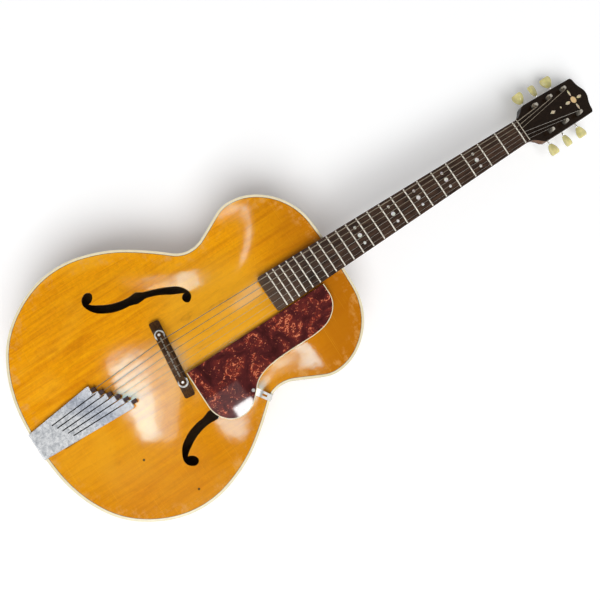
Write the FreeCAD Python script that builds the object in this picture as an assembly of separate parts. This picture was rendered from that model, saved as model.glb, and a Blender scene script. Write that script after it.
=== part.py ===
"""Archtop guitar lying on its back: X to the treble side, Y to the headstock, Z out of the soundboard.

Pieces are drawn with Y = 0 where the neck meets the body and Z = 0 on the rim of the soundboard, then moved
so that the origin is on the ground, under the middle of the whole guitar.  All sizes are millimetres.
"""
import FreeCAD, Part
import math
import os

V = FreeCAD.Vector
Placement = FreeCAD.Placement
Rotation = FreeCAD.Rotation

# Fits
GLUE = 0.05
RUNNING = 0.05
STRING_GAP = 0.08
FACE_GAP = 0.1

# Body
BODY_LENGTH = 514.1
UPPER_BOUT = 302.8
UPPER_BOUT_AT = 93.4
WAIST = 242.6
WAIST_AT = 177.0
LOWER_BOUT = 409.2
LOWER_BOUT_AT = 356.0
SHOULDER_IN = 39.0
SHOULDER_DROP = 21.4
RIM_DEPTH = 84.0
TOP_ARCH = 18.0
BACK_ARCH = 16.0
TOP_THICKNESS = 4.5
BACK_THICKNESS = 4.0
RIB_THICKNESS = 2.5
BINDING_WIDTH = 3.7
BINDING_HEIGHT = 7.0
LINING_WIDTH = 6.0
LINING_HEIGHT = 13.0
BLOCK_WIDTH = 64.0
NECK_BLOCK_LENGTH = 56.0
TAIL_BLOCK_LENGTH = 32.0
TONE_BAR_WIDTH = 8.0
TONE_BAR_HEIGHT = 14.0
TONE_BAR_LENGTH = 300.0
TONE_BAR_SPREAD = 62.0
TONE_BAR_CENTRE = 290.0
TONE_BAR_SPLAY = 2.0
ARCH_GRID = 12.0
RIM_SAMPLES = 260
F_HOLE_OUT = 102.0
F_HOLE_AT = 282.0

# Neck and fingerboard
SCALE_LENGTH = 640.0
BODY_FRET = 14
FRET_COUNT = 22
NECK_ANGLE = 4.0
BOARD_RISE = 20.0
BOARD_THICKNESS = 6.5
BOARD_RADIUS = 250.0
BOARD_WIDTH_NUT = 39.5
BOARD_WIDTH_END = 58.5
BOARD_PAST_LAST_FRET = 16.6
BOARD_CORNER = 5.0
FRET_WIDTH = 2.2
FRET_HEIGHT = 1.1
FRET_TANG = 0.5
FRET_TANG_DEPTH = 1.8
FRET_END_INSET = 0.9
DOT_FRETS = (3, 5, 7, 9, 12)
DOT_DIAMETER = 4.6
DOT_MIDDLE_DIAMETER = 6.6
DOT_DEPTH = 2.5
DOT_SPREAD_SHARE = 0.52
NUT_FROM_ZERO_FRET = 4.5
NUT_THICKNESS = 3.0
NUT_HEIGHT = 8.2
SHAFT_DEPTH_NUT = 15.0
SHAFT_DEPTH_BODY = 18.0
THROAT_START = 14.0
TONGUE_INSET = 1.5
TONGUE_SHORT = 6.0
HEEL_TOP = 2.0
HEEL_FORWARD_TOP = 62.0
HEEL_FORWARD_FOOT = 16.0
HEEL_WIDTH_FOOT = 29.0
HEEL_CAP_THICKNESS = 2.5
TENON_WIDTH = 20.0
TENON_LENGTH = 28.0
TENON_TOP = 12.0
TENON_FOOT = 68.0
BAR_WIDTH = 6.0
BAR_HEIGHT = 8.0
BAR_END_MARGIN = 12.0

# Headstock
HEAD_ANGLE = 14.0
HEAD_LENGTH = 163.8
HEAD_WIDTH = 68.4
HEAD_TOP_WIDTH = 67.2
HEAD_FLARE = 34.0
HEAD_THICKNESS = 14.0
HEAD_SHOULDER = 14.8
VENEER_THICKNESS = 2.0
INLAY_DEPTH = 1.0
INLAY_DISC_AT = 131.0
INLAY_DISC = 11.6
INLAY_PETAL_OFFSET = 14.6
INLAY_PETAL_LENGTH = 12.0
INLAY_PETAL_WIDTH = 5.2
INLAY_SIDE_OFFSET = 13.0
INLAY_SIDE_LENGTH = 11.6
INLAY_SIDE_WIDTH = 4.4
INLAY_DOT_AT = 97.7
INLAY_DOT = 3.4
INLAY_DIAMOND_AT = 77.4
INLAY_DIAMOND_LENGTH = 13.0
INLAY_DIAMOND_WIDTH = 6.0

# Tuning machines
POST_FIRST = 46.8
POST_PITCH = 36.0
POST_OUT = 23.6
POST_RADIUS = 2.8
POST_TOP = 14.0
POST_HOLE_RADIUS = 0.9
POST_HOLE_AT = 12.0
BUSHING_RADIUS = 3.6
BUSHING_LENGTH = 9.0
BUSHING_FLANGE_RADIUS = 4.1
BUSHING_FLANGE = 1.0
PLATE_THICKNESS = 1.2
PLATE_WIDTH = 20.0
PLATE_END = 16.0
WORM_DEPTH = 8.0
WORM_PITCH = 3.0
WORM_TURNS = 2.5
WORM_ROOT_RADIUS = 1.9
WORM_TIP_RADIUS = 3.25
WORM_THREAD_ROOT = 1.1
WORM_THREAD_TIP = 0.7
WORM_BODY = 9.0
WORM_SHAFT_RADIUS = 1.5
MESH_GAP = 0.1
EAR_THICKNESS = 1.2
EAR_WIDTH = 6.4
EAR_GAP = 0.15
EAR_PAST_SHAFT = 2.2
GEAR_TEETH = 14
GEAR_TOOTH = 0.9
GEAR_ADDENDUM = 0.6
GEAR_DEDENDUM = 0.85
GEAR_THICKNESS = 3.0
HUB_RADIUS = 4.4
KNOB_INNER = 40.5
KNOB_LENGTH = 18.5
KNOB_WIDTH = 19.4
KNOB_THICKNESS = 8.6
KNOB_NECK = 6.4
KNOB_BORE_DEPTH = 9.0
KNOB_TURNS = {1: 89.0, 2: 108.0, 3: 4.0, 4: -26.0, 5: 21.0, 6: -66.0}

# Strings, the first is the thinnest
STRING_DIAMETERS = {1: 0.30, 2: 0.41, 3: 0.61, 4: 0.81, 5: 1.07, 6: 1.32}
STRING_POSTS = {1: (1, 0), 2: (1, 1), 3: (1, 2), 4: (-1, 2), 5: (-1, 1), 6: (-1, 0)}
NUT_SPREAD = 32.0
SADDLE_SPREAD = 53.0
STRING_RISE_AT_SADDLE = 4.6
STRING_BEND = 4.0
STRING_DROP_AT_NUT = 0.6
WINDING_TOP = 9.6
WINDING_GAP = 0.5
WINDING_QUARTERS = 9

# Bridge
BRIDGE_OUT = 2.0
BRIDGE_AT = 287.5
BRIDGE_SLANT = 6.5
BASE_LENGTH = 120.0
BASE_WIDTH = 15.5
BASE_HEIGHT = 9.0
BASE_END_DROP = 3.6
BASE_END_SLOPE = 12.0
BASE_CORNER = 3.0
BASE_RELIEF_LENGTH = 56.0
BASE_RELIEF_HEIGHT = 3.5
BRIDGE_POST_SPREAD = 75.0
BRIDGE_POST_RADIUS = 2.2
BRIDGE_POST_SEAT = 6.0
BRIDGE_POST_PROUD = 2.4
WHEEL_RADIUS = 7.75
WHEEL_THICKNESS = 3.2
WHEEL_NOTCHES = 30
WHEEL_NOTCH = 0.4
SADDLE_WIDTH = 9.6
SADDLE_END_RADIUS = 5.2
SADDLE_TRAVEL = 2.8
WHEEL_STOP_GAP = 0.3
SADDLE_FRET_LENGTH = 8.6
SADDLE_FRET_RADIUS = 1.0

# Tailpiece
TAIL_THICKNESS = 1.6
TAIL_SLOPE = 10.4
TAIL_CREST = 4.5
TAIL_BEND = 6.0
TAIL_FLANGE_LENGTH = 46.0
TAIL_LEFT = 19.5
TAIL_RIGHT = 22.0
TAIL_TIP_LEFT = 30.8
TAIL_TIP_RIGHT = 31.0
TAIL_REACH = 145.3
TAIL_STEP = 7.9
TAIL_SLOT_TOP_CENTRE = 0.6
TAIL_SLOT_TOP_PITCH = 9.2
TAIL_SLOT_FOOT_CENTRE = 1.8
TAIL_SLOT_FOOT_PITCH = 7.2
TAIL_SLOT_FOOT = 43.6
TAIL_SLOT_FOOT_STEP = 4.6
TAIL_SLOT_WIDTH = 1.7
TAIL_ROLL_RADIUS = 2.3
ANCHOR_LENGTH = 9.0
ANCHOR_UNDER = 6.0
ANCHOR_DEPTH = 3.4
ANCHOR_TOP = 1.2
ANCHOR_SIDE_GAP = 0.9
ANCHOR_BORE_GAP = 0.25
ANCHOR_GRIP = 5.5
TAIL_SCREW_SPREAD = 24.0
TAIL_SCREW_DROP = 22.0

# Pickguard
GUARD_THICKNESS = 2.6
GUARD_TILT = 2.6
GUARD_TOP_AT = 42.2
GUARD_TOP_HEIGHT = 17.0
GUARD_FOOT_AT = 281.2
GUARD_STRING_SIDE = 31.0
GUARD_TOP_OUT = 45.0
GUARD_UPPER_OUT = 84.6
GUARD_MIDDLE_OUT = 86.2
GUARD_LOWER_OUT = 126.3
GUARD_FOOT_OUT = 88.0
GUARD_EDGE = 1.3
GUARD_POST_OUT = 42.0
GUARD_POST_AT = 62.0
GUARD_POST_RADIUS = 5.0
BRACKET_AT = 199.0
BRACKET_REACH = 35.0
BRACKET_LAP = 14.0
BRACKET_WIDTH = 10.2
BRACKET_THICKNESS = 1.5
BRACKET_BEND = 5.0
BRACKET_FLANGE = 26.0
BRACKET_SLOT_LENGTH = 8.0
BRACKET_SLOT_WIDTH = 3.0
BRACKET_SCREW_IN = 6.0
BRACKET_SCREW_DROP = 17.0

# Screws
SCREW_RADIUS = 1.3
SCREW_LENGTH = 8.0
SCREW_HEAD_RADIUS = 2.6
SCREW_HEAD = 1.6
SMALL_SCREW_RADIUS = 1.0
SMALL_SCREW_LENGTH = 7.0
SMALL_SCREW_HEAD_RADIUS = 2.1
SMALL_SCREW_HEAD = 1.2
SMALL_SCREW_STEP = 10.6
SMALL_SCREW_FIRST = 11.5

STRINGS = sorted(STRING_DIAMETERS)
X_AXIS = V(1, 0, 0)
Y_AXIS = V(0, 1, 0)
Z_AXIS = V(0, 0, 1)


# Curves


def heading(degrees):
    angle = math.radians(degrees)
    return V(math.cos(angle), math.sin(angle), 0)


def right_of(direction):
    return V(direction.y, -direction.x, 0)


def arc_middle(start, corner, end):
    """Middle of the arc from start to end whose end tangents meet at corner."""
    half = (end - start).Length / 2
    reach = (corner - start).Length
    centre = (start + end) * 0.5
    return centre + (corner - centre) * (half / (reach + half))


def biarc(start, start_way, end, end_way):
    """Stations (point, direction) after the start, on two tangent arcs that lead to the end."""
    chord = end - start
    along = chord.dot(start_way + end_way)
    spread = 2 * (1 - start_way.dot(end_way))
    if spread < 1e-9:
        reach = chord.dot(chord) / (2 * along)
    else:
        reach = (math.sqrt(along * along + spread * chord.dot(chord)) - along) / spread
    first = start + start_way * reach
    second = end - end_way * reach
    joint = (first + second) * 0.5
    return [
        (arc_middle(start, first, joint), (joint - start).normalize()),
        (joint, (second - first).normalize()),
        (arc_middle(joint, second, end), (end - joint).normalize()),
        (end, end_way),
    ]


def stations(nodes):
    """Stations along tangent arcs through nodes of x, y and heading in degrees."""
    points = [(V(x, y, 0), heading(degrees)) for x, y, degrees in nodes]
    path = [points[0]]
    for end, way in points[1:]:
        start, start_way = path[-1]
        path += biarc(start, start_way, end, way)
    return path


def arc_edge(start, middle, end):
    chord = end - start
    if chord.cross(middle - start).Length < 1e-6 * chord.Length:
        return Part.LineSegment(start, end).toShape()
    return Part.Arc(start, middle, end).toShape()


def station_edges(path, inset=0.0):
    """Arcs along the stations, moved to the right of the path by the inset."""
    points = [point + right_of(way) * inset for point, way in path]
    return [arc_edge(*points[i:i + 3]) for i in range(0, len(points) - 2, 2)]


def closed_face(edges):
    return Part.Face(Part.Wire(Part.sortEdges(edges)[0]))


def ends(path, inset):
    first, last = path[0], path[-1]
    return first[0] + right_of(first[1]) * inset, last[0] + right_of(last[1]) * inset


def band_face(path, near, far):
    """Flat strip along an open path, between two insets."""
    near_start, near_end = ends(path, near)
    far_start, far_end = ends(path, far)
    edges = station_edges(path, near) + station_edges(path, far)
    edges.append(Part.LineSegment(near_start, far_start).toShape())
    edges.append(Part.LineSegment(near_end, far_end).toShape())
    return closed_face(edges)


def polygon_face(points):
    return Part.Face(Part.makePolygon(points + points[:1]))


def box(low, high):
    size = high - low
    return Part.makeBox(size.x, size.y, size.z, low)


def placed(shape, frame):
    moved = shape.copy()
    moved.Placement = frame.multiply(moved.Placement)
    return moved


def shifted(shape, offset):
    moved = shape.copy()
    moved.translate(offset)
    return moved


def mirrored(shape):
    return shape.mirror(V(0, 0, 0), X_AXIS)


def rounded_run(points, radius):
    """Edges of straight runs through the points, joined by tangent arcs."""
    edges = []
    start = points[0]
    for before, corner, after in zip(points, points[1:], points[2:]):
        arriving = (corner - before).normalize()
        leaving = (after - corner).normalize()
        reach = radius * math.tan(arriving.getAngle(leaving) / 2)
        bend_start = corner - arriving * reach
        bend_end = corner + leaving * reach
        edges.append(Part.LineSegment(start, bend_start).toShape())
        edges.append(arc_edge(bend_start, arc_middle(bend_start, corner, bend_end), bend_end))
        start = bend_end
    edges.append(Part.LineSegment(start, points[-1]).toShape())
    return edges


def screw(radius, length, head_radius, head):
    """Round-headed screw along +Z, with the seat of its head at the origin and its tip below."""
    shank = Part.makeCylinder(radius, length, V(0, 0, -length))
    dome_radius = (head_radius ** 2 + head ** 2) / (2 * head)
    ball = Part.makeSphere(dome_radius, V(0, 0, head - dome_radius))
    dome = ball.common(Part.makeCylinder(head_radius, head, V(0, 0, 0)))
    return dome.fuse(shank).removeSplitter()


def pilot(radius, length):
    return Part.makeCylinder(radius + GLUE, 2 * length, V(0, 0, -length - GLUE))


# Frames of the tilted parts

FRETS = [SCALE_LENGTH * (1 - 2 ** (-n / 12)) for n in range(FRET_COUNT + 1)]
NUT_Y = FRETS[BODY_FRET]
BOARD_END_Y = NUT_Y - FRETS[FRET_COUNT] - BOARD_PAST_LAST_FRET
BOARD_TOP_Y = NUT_Y + NUT_FROM_ZERO_FRET
HEAD_Y = BOARD_TOP_Y + NUT_THICKNESS
NECK = Placement(V(0, 0, BOARD_RISE), Rotation(X_AXIS, -NECK_ANGLE))
HEAD_IN_NECK = Placement(V(0, HEAD_Y, -BOARD_THICKNESS), Rotation(X_AXIS, -HEAD_ANGLE))
HEAD = NECK.multiply(HEAD_IN_NECK)
BRIDGE = Placement(V(BRIDGE_OUT, -BRIDGE_AT, 0), Rotation(Z_AXIS, -BRIDGE_SLANT))
GUARD = Placement(V(0, -GUARD_TOP_AT, GUARD_TOP_HEIGHT), Rotation(X_AXIS, -GUARD_TILT))

TAIL_FACE_Y = -(BODY_LENGTH + FACE_GAP)
HIGHEST_Y = HEAD.multVec(V(0, HEAD_LENGTH, VENEER_THICKNESS)).y
LOWEST_Y = TAIL_FACE_Y - TAIL_THICKNESS - SCREW_HEAD
TO_ORIGIN = V(0, -(HIGHEST_Y + LOWEST_Y) / 2, RIM_DEPTH + BACK_ARCH)


def export(name, shape):
    os.makedirs("parts", exist_ok=True)
    shifted(shape, TO_ORIGIN).exportStep("parts/" + name + ".step")
    print(name, len(shape.Solids), round(shape.Volume, 1), shape.isValid())


def group(shapes):
    return Part.makeCompound(shapes)


# Body


def body_half():
    """Stations of the treble half of the outline, from the neck end to the tail."""
    upper = UPPER_BOUT / 2
    waist = WAIST / 2
    lower = LOWER_BOUT / 2
    swell = lower - waist
    fall = LOWER_BOUT_AT - WAIST_AT
    tail = BODY_LENGTH - LOWER_BOUT_AT
    return stations([
        (0, 0, 0),
        (upper - SHOULDER_IN, -SHOULDER_DROP, -36.4),
        (upper, -UPPER_BOUT_AT, -90),
        ((upper + waist) / 2, -(UPPER_BOUT_AT + WAIST_AT) / 2, -117.5),
        (waist, -WAIST_AT, -90),
        (waist + 0.343 * swell, -WAIST_AT - 0.273 * fall, -51.7),
        (waist + 0.81 * swell, -WAIST_AT - 0.618 * fall, -66.8),
        (lower, -LOWER_BOUT_AT, -90),
        (0.818 * lower, -LOWER_BOUT_AT - 0.619 * tail, -129.7),
        (0.455 * lower, -LOWER_BOUT_AT - 0.921 * tail, -161.8),
        (0, -BODY_LENGTH, -180),
    ])


HALF = body_half()


def outline_wire(inset):
    edges = station_edges(HALF, inset)
    return Part.Wire(Part.sortEdges(edges + [mirrored(edge) for edge in edges])[0])


def outline_prism(inset, low, high):
    return shifted(Part.Face(outline_wire(inset)), V(0, 0, low)).extrude(V(0, 0, high - low))


def outline_ring(near, far, low, high):
    return outline_prism(near, low, high).cut(outline_prism(far, low - 1, high + 1))


def arch_shares():
    """Rows of x, y and the share of the full arch, from a soft distance to the rim."""
    wire = outline_wire(0)
    rim = wire.discretize(Number=RIM_SAMPLES)
    step = wire.Length / RIM_SAMPLES
    columns = math.ceil(LOWER_BOUT / 2 / ARCH_GRID) + 1
    count = math.ceil(BODY_LENGTH / ARCH_GRID) + 2
    rows = []
    for i in range(-columns, columns + 1):
        row = []
        for j in range(-1, count):
            x = i * ARCH_GRID
            y = -j * ARCH_GRID
            pull = sum(step / max((x - p.x) ** 2 + (y - p.y) ** 2, 1e-6) ** 1.5 for p in rim)
            row.append((x, y, math.sqrt(2 / pull)))
        rows.append(row)
    inside = [soft for row in rows for x, y, soft in row if abs(x) < WAIST / 2 and -BODY_LENGTH < y < 0]
    deepest = max(inside)
    shaped = []
    for row in rows:
        shaped.append([(x, y, (1 - math.cos(math.pi * min(soft / deepest, 1))) / 2) for x, y, soft in row])
    return shaped


SHARES = arch_shares()


def arched_face(base, rise):
    """Carved outer surface of a plate; its rim lies at the base height."""
    points = [[V(x, y, base + rise * share) for x, y, share in row] for row in SHARES]
    surface = Part.BSplineSurface()
    surface.interpolate(points)
    return surface.toShape()


TOP_FACE = arched_face(0, TOP_ARCH)
BACK_FACE = arched_face(-RIM_DEPTH, -BACK_ARCH)


def under_top(gap, depth):
    """Slab under the outer surface of the soundboard."""
    return shifted(TOP_FACE, V(0, 0, -gap)).extrude(V(0, 0, -depth))


def over_back(gap, depth):
    return shifted(BACK_FACE, V(0, 0, gap)).extrude(V(0, 0, depth))


def top_height(x, y):
    """Height of the soundboard's outer surface above a point of the rim plane."""
    line = Part.LineSegment(V(x, y, -TOP_ARCH), V(x, y, 2 * TOP_ARCH)).toShape()
    return TOP_FACE.distToShape(line)[1][0][0].z


def f_hole():
    """Outline of the treble sound hole about its nicks, as arcs through three points and short lines."""
    arcs = [
        ((-32, 61.3), (-38.8, 54), (-47.3, 59.5)),
        ((-47.3, 59.5), (-43, 66.5), (-33.4, 68.3)),
        ((-33.4, 68.3), (-22, 62.5), (-13.5, 51.5)),
        ((-13.5, 51.5), (-4.6, 31.5), (2, 12)),
        ((2, 12), (5, 7.4), (8, 2.8)),
        ((8, 2.8), (7.4, -3.1), (6.9, -9)),
        ((6.9, -9), (10.2, -30), (19.7, -50)),
        ((19.7, -50), (24, -56.6), (29, -62.5)),
        ((29, -62.5), (33, -54.2), (39.6, -51.4)),
        ((39.6, -51.4), (45.6, -56.5), (44.5, -63)),
        ((44.5, -63), (38.5, -69), (29.9, -70.3)),
        ((29.9, -70.3), (16.9, -64.4), (5.8, -52)),
        ((5.8, -52), (-1.8, -35.4), (-5.1, -15.4)),
        ((-5.1, -15.4), (-7, -9.3), (-9.2, -3.3)),
        ((-9.2, -3.3), (-8.7, 3.5), (-8.3, 10.4)),
        ((-8.3, 10.4), (-13.9, 27.2), (-23.1, 43)),
        ((-23.1, 43), (-27.9, 52.6), (-32, 61.3)),
    ]
    centre = V(F_HOLE_OUT, -F_HOLE_AT, 0)
    edges = [arc_edge(*[centre + V(x, y, 0) for x, y in arc]) for arc in arcs]
    face = shifted(closed_face(edges), V(0, 0, -TOP_ARCH))
    return face.extrude(V(0, 0, 3 * TOP_ARCH))


def bindings_room(gap):
    """Space of both bindings, with a gap around it."""
    rings = []
    for low in (-BINDING_HEIGHT, -RIM_DEPTH):
        rings.append(outline_ring(0, BINDING_WIDTH + gap, low - gap, low + BINDING_HEIGHT + gap))
    return group(rings)


def block(low_y, high_y):
    """Inner block between the plates, fitted to the ribs."""
    half = BLOCK_WIDTH / 2
    lowest = -RIM_DEPTH - BACK_ARCH
    raw = box(V(-half, low_y, lowest), V(half, high_y, TOP_ARCH))
    raw = raw.common(outline_prism(RIB_THICKNESS + GLUE, lowest, TOP_ARCH))
    raw = raw.common(under_top(TOP_THICKNESS + GLUE, RIM_DEPTH + BACK_ARCH))
    raw = raw.common(over_back(BACK_THICKNESS + GLUE, RIM_DEPTH + TOP_ARCH))
    return raw.cut(bindings_room(GLUE))


def lining(slab):
    """Kerfed lining between a plate and the ribs, interrupted by the blocks."""
    ring = outline_ring(RIB_THICKNESS + GLUE, RIB_THICKNESS + LINING_WIDTH, -RIM_DEPTH, 0)
    half = BLOCK_WIDTH / 2 + GLUE
    neck_gap = box(V(-half, -NECK_BLOCK_LENGTH, -RIM_DEPTH), V(half, 0, 0))
    tail_gap = box(V(-half, -BODY_LENGTH, -RIM_DEPTH), V(half, TAIL_BLOCK_LENGTH - BODY_LENGTH, 0))
    return slab.common(ring).cut(bindings_room(GLUE)).cut(neck_gap).cut(tail_gap)


def tone_bar(side):
    raw = box(V(-TONE_BAR_WIDTH / 2, -TONE_BAR_LENGTH / 2, -TOP_ARCH),
              V(TONE_BAR_WIDTH / 2, TONE_BAR_LENGTH / 2, TOP_ARCH))
    centre = V(side * TONE_BAR_SPREAD / 2, -TONE_BAR_CENTRE, 0)
    frame = Placement(centre, Rotation(Z_AXIS, side * TONE_BAR_SPLAY))
    return placed(raw, frame).common(under_top(TOP_THICKNESS + GLUE, TONE_BAR_HEIGHT))


def tenon(gap):
    half = TENON_WIDTH / 2 + gap
    return box(V(-half, -TENON_LENGTH - gap, -TENON_FOOT - gap), V(half, BINDING_WIDTH, -TENON_TOP + gap))


# Neck


def board_half(y):
    """Half width of the fingerboard at a place along the neck."""
    share = (BOARD_TOP_Y - y) / (BOARD_TOP_Y - BOARD_END_Y)
    return (BOARD_WIDTH_NUT + (BOARD_WIDTH_END - BOARD_WIDTH_NUT) * share) / 2


def shaft_depth(y):
    return SHAFT_DEPTH_BODY + (SHAFT_DEPTH_NUT - SHAFT_DEPTH_BODY) * y / NUT_Y


def u_section(half, depth, corner, origin, down):
    """Section with a flat top and rounded lower corners."""
    slant = corner * (1 - math.sqrt(0.5))

    def at(across, below):
        return origin + X_AXIS * across + down * below

    outline = [
        Part.LineSegment(at(-half, 0), at(half, 0)),
        Part.LineSegment(at(half, 0), at(half, depth - corner)),
        Part.Arc(at(half, depth - corner), at(half - slant, depth - slant), at(half - corner, depth)),
        Part.LineSegment(at(half - corner, depth), at(corner - half, depth)),
        Part.Arc(at(corner - half, depth), at(slant - half, depth - slant), at(-half, depth - corner)),
        Part.LineSegment(at(-half, depth - corner), at(-half, 0)),
    ]
    return Part.Wire([edge.toShape() for edge in outline])


def shaft_section(y):
    depth = shaft_depth(y)
    return u_section(board_half(y), depth, depth - 0.5, V(0, y, -BOARD_THICKNESS), -Z_AXIS)


def head_half():
    """Stations of the treble half of the headstock, from the nut to its crest."""
    nut_half = BOARD_WIDTH_NUT / 2
    full_half = HEAD_WIDTH / 2
    top_half = HEAD_TOP_WIDTH / 2
    return stations([
        (nut_half, 0, 90),
        ((nut_half + full_half) / 2, 0.6 * HEAD_FLARE, 52),
        (full_half, HEAD_FLARE, 90),
        (top_half, HEAD_LENGTH - HEAD_SHOULDER, 90.5),
        (0.85 * top_half, HEAD_LENGTH - 0.65 * HEAD_SHOULDER, 172),
        (0.5 * top_half, HEAD_LENGTH - 0.46 * HEAD_SHOULDER, 155),
        (0, HEAD_LENGTH, 180),
    ])


FLARE_STATIONS = 8
HEAD_HALF = head_half()


def head_face(path):
    edges = station_edges(path)
    start = path[0][0]
    foot = Part.LineSegment(V(-start.x, start.y, 0), start).toShape()
    return closed_face(edges + [mirrored(edge) for edge in edges] + [foot])


def throat():
    """Transition from the round shaft to the flat headstock."""
    sections = [shaft_section(HEAD_Y - THROAT_START)]
    for i in range(0, FLARE_STATIONS + 1, 2):
        point = HEAD_HALF[i][0]
        corner = HEAD_THICKNESS * (0.9 - 0.75 * i / FLARE_STATIONS)
        section = u_section(point.x, HEAD_THICKNESS, corner, V(0, point.y, 0), -Z_AXIS)
        section.Placement = HEAD_IN_NECK
        sections.append(section)
    return Part.makeLoft(sections, True, True)


def heel_section(share):
    """Level section of the heel, from its top, share 0, to its foot, share 1."""
    foot = HEEL_CAP_THICKNESS - RIM_DEPTH
    z = HEEL_TOP + (foot - HEEL_TOP) * share
    forward = HEEL_FORWARD_FOOT + (HEEL_FORWARD_TOP - HEEL_FORWARD_FOOT) * (1 - share) ** 5
    foot_half = HEEL_WIDTH_FOOT / 2
    half = foot_half + (board_half(0) - TONGUE_INSET - foot_half) * (1 - share)
    return u_section(half, forward + TENON_LENGTH / 2, half - 0.5, V(0, -TENON_LENGTH / 2, z), Y_AXIS)


def heel_cap_blank():
    return Part.Face(heel_section(1)).extrude(V(0, 0, -HEEL_CAP_THICKNESS))


def body_envelope():
    """The closed body, grown by a glue line, for cutting the pieces that lie against it."""
    lowest = -RIM_DEPTH - BACK_ARCH
    return outline_prism(-GLUE, lowest, 2 * TOP_ARCH).common(under_top(-GLUE, RIM_DEPTH + BACK_ARCH))


def tongue():
    """Ramp under the end of the fingerboard, standing on the soundboard."""
    low_y = BOARD_END_Y + TONGUE_SHORT
    low_half = board_half(low_y) - TONGUE_INSET
    top_half = board_half(0) - TONGUE_INSET
    corners = [V(-low_half, low_y, 0), V(low_half, low_y, 0), V(top_half, 0, 0), V(-top_half, 0, 0)]
    raw = shifted(polygon_face(corners), V(0, 0, -BOARD_THICKNESS)).extrude(V(0, 0, -BOARD_RISE - TOP_ARCH))
    ground = box(V(-low_half, 2 * low_y, -2 * RIM_DEPTH), V(low_half, RIM_DEPTH, GLUE))
    return placed(raw, NECK).cut(ground)


def bar_space(gap):
    half = BAR_WIDTH / 2 + gap
    low = V(-half, BAR_END_MARGIN - gap, -BOARD_THICKNESS - GLUE - BAR_HEIGHT - gap)
    high = V(half, NUT_Y - BAR_END_MARGIN + gap, -BOARD_THICKNESS - GLUE + gap)
    return placed(box(low, high), NECK)


def neck_piece():
    start = -BINDING_WIDTH
    shaft = Part.makeLoft([shaft_section(start), shaft_section(HEAD_Y - THROAT_START)], True, True)
    slab = head_face(HEAD_HALF[FLARE_STATIONS:]).extrude(V(0, 0, -HEAD_THICKNESS))
    blank = placed(shaft.fuse(throat()), NECK).fuse(placed(slab, HEAD))
    shares = (0, 0.12, 0.27, 0.5, 0.77, 1)
    heel = Part.makeLoft([heel_section(share) for share in shares], True, False)
    blank = blank.fuse(heel).fuse(tongue()).cut(body_envelope()).fuse(tenon(0))
    holes = [placed(hole, HEAD) for hole in post_holes(BUSHING_RADIUS + GLUE)]
    holes += small_screw_pilots()
    return blank.cut(bar_space(GLUE)).cut(group(holes)).removeSplitter()


# Fingerboard


def board_blank():
    nut_half = BOARD_WIDTH_NUT / 2
    end_half = BOARD_WIDTH_END / 2
    corners = [V(-nut_half, BOARD_TOP_Y, 0), V(nut_half, BOARD_TOP_Y, 0),
               V(end_half, BOARD_END_Y, 0), V(-end_half, BOARD_END_Y, 0)]
    slab = shifted(polygon_face(corners), V(0, 0, -BOARD_THICKNESS)).extrude(V(0, 0, BOARD_THICKNESS))
    posts = [edge for edge in slab.Edges
             if abs(edge.BoundBox.YMax - BOARD_END_Y) < 0.01 and edge.BoundBox.ZLength > 1]
    slab = slab.makeFillet(BOARD_CORNER, posts)
    length = BOARD_TOP_Y - BOARD_END_Y
    camber = Part.makeCylinder(BOARD_RADIUS, length, V(0, BOARD_END_Y, -BOARD_RADIUS), Y_AXIS)
    return slab.common(camber)


def camber_drop(x):
    """How far the cambered surface lies under its crown."""
    return BOARD_RADIUS - math.sqrt(BOARD_RADIUS ** 2 - x ** 2)


def fret(y):
    """Fret with its tang, bent to the camber."""
    tang = FRET_TANG / 2
    half = FRET_WIDTH / 2
    seat = GLUE
    corners = [V(0, y + half, seat), V(0, y + tang, seat), V(0, y + tang, -FRET_TANG_DEPTH),
               V(0, y - tang, -FRET_TANG_DEPTH), V(0, y - tang, seat), V(0, y - half, seat)]
    edges = [Part.LineSegment(a, b).toShape() for a, b in zip(corners, corners[1:])]
    edges.append(Part.Arc(corners[-1], V(0, y, FRET_HEIGHT), corners[0]).toShape())
    face = closed_face(edges)
    swing = math.degrees(math.asin((board_half(y) - FRET_END_INSET) / BOARD_RADIUS))
    axis = V(0, 0, -BOARD_RADIUS)
    face.rotate(axis, Y_AXIS, -swing)
    return face.revolve(axis, Y_AXIS, 2 * swing)


def fret_slot(y):
    half = board_half(y)
    tang = FRET_TANG / 2 + GLUE
    depth = FRET_TANG_DEPTH + camber_drop(half) + GLUE
    return box(V(-half - 1, y - tang, -depth), V(half + 1, y + tang, FRET_HEIGHT))


def dot_places():
    """Place and radius of every position dot."""
    for number in DOT_FRETS:
        y = NUT_Y - (FRETS[number] + FRETS[number - 1]) / 2
        for side in (-1, 0, 1):
            radius = DOT_DIAMETER / 2 if side else DOT_MIDDLE_DIAMETER / 2
            yield V(side * DOT_SPREAD_SHARE * board_half(y), y, -DOT_DEPTH), radius


def nut_piece():
    half = BOARD_WIDTH_NUT / 2 - FRET_END_INSET
    blank = box(V(-half, BOARD_TOP_Y + GLUE, GLUE - BOARD_THICKNESS),
                V(half, HEAD_Y - GLUE, NUT_HEIGHT - BOARD_THICKNESS))
    slots = []
    for number in STRINGS:
        width = STRING_DIAMETERS[number] / 2 + RUNNING
        low = string_at_nut(number) - V(width, NUT_THICKNESS, width + STRING_GAP)
        slots.append(box(low, low + V(2 * width, 2 * NUT_THICKNESS, NUT_HEIGHT)))
    return placed(blank.cut(group(slots)), NECK)


# Headstock


def petal_face(length, width):
    top = V(0, length / 2, 0)
    foot = V(0, -length / 2, 0)
    edges = [Part.Arc(foot, V(side * width / 2, 0, 0), top).toShape() for side in (-1, 1)]
    return closed_face(edges)


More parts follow.
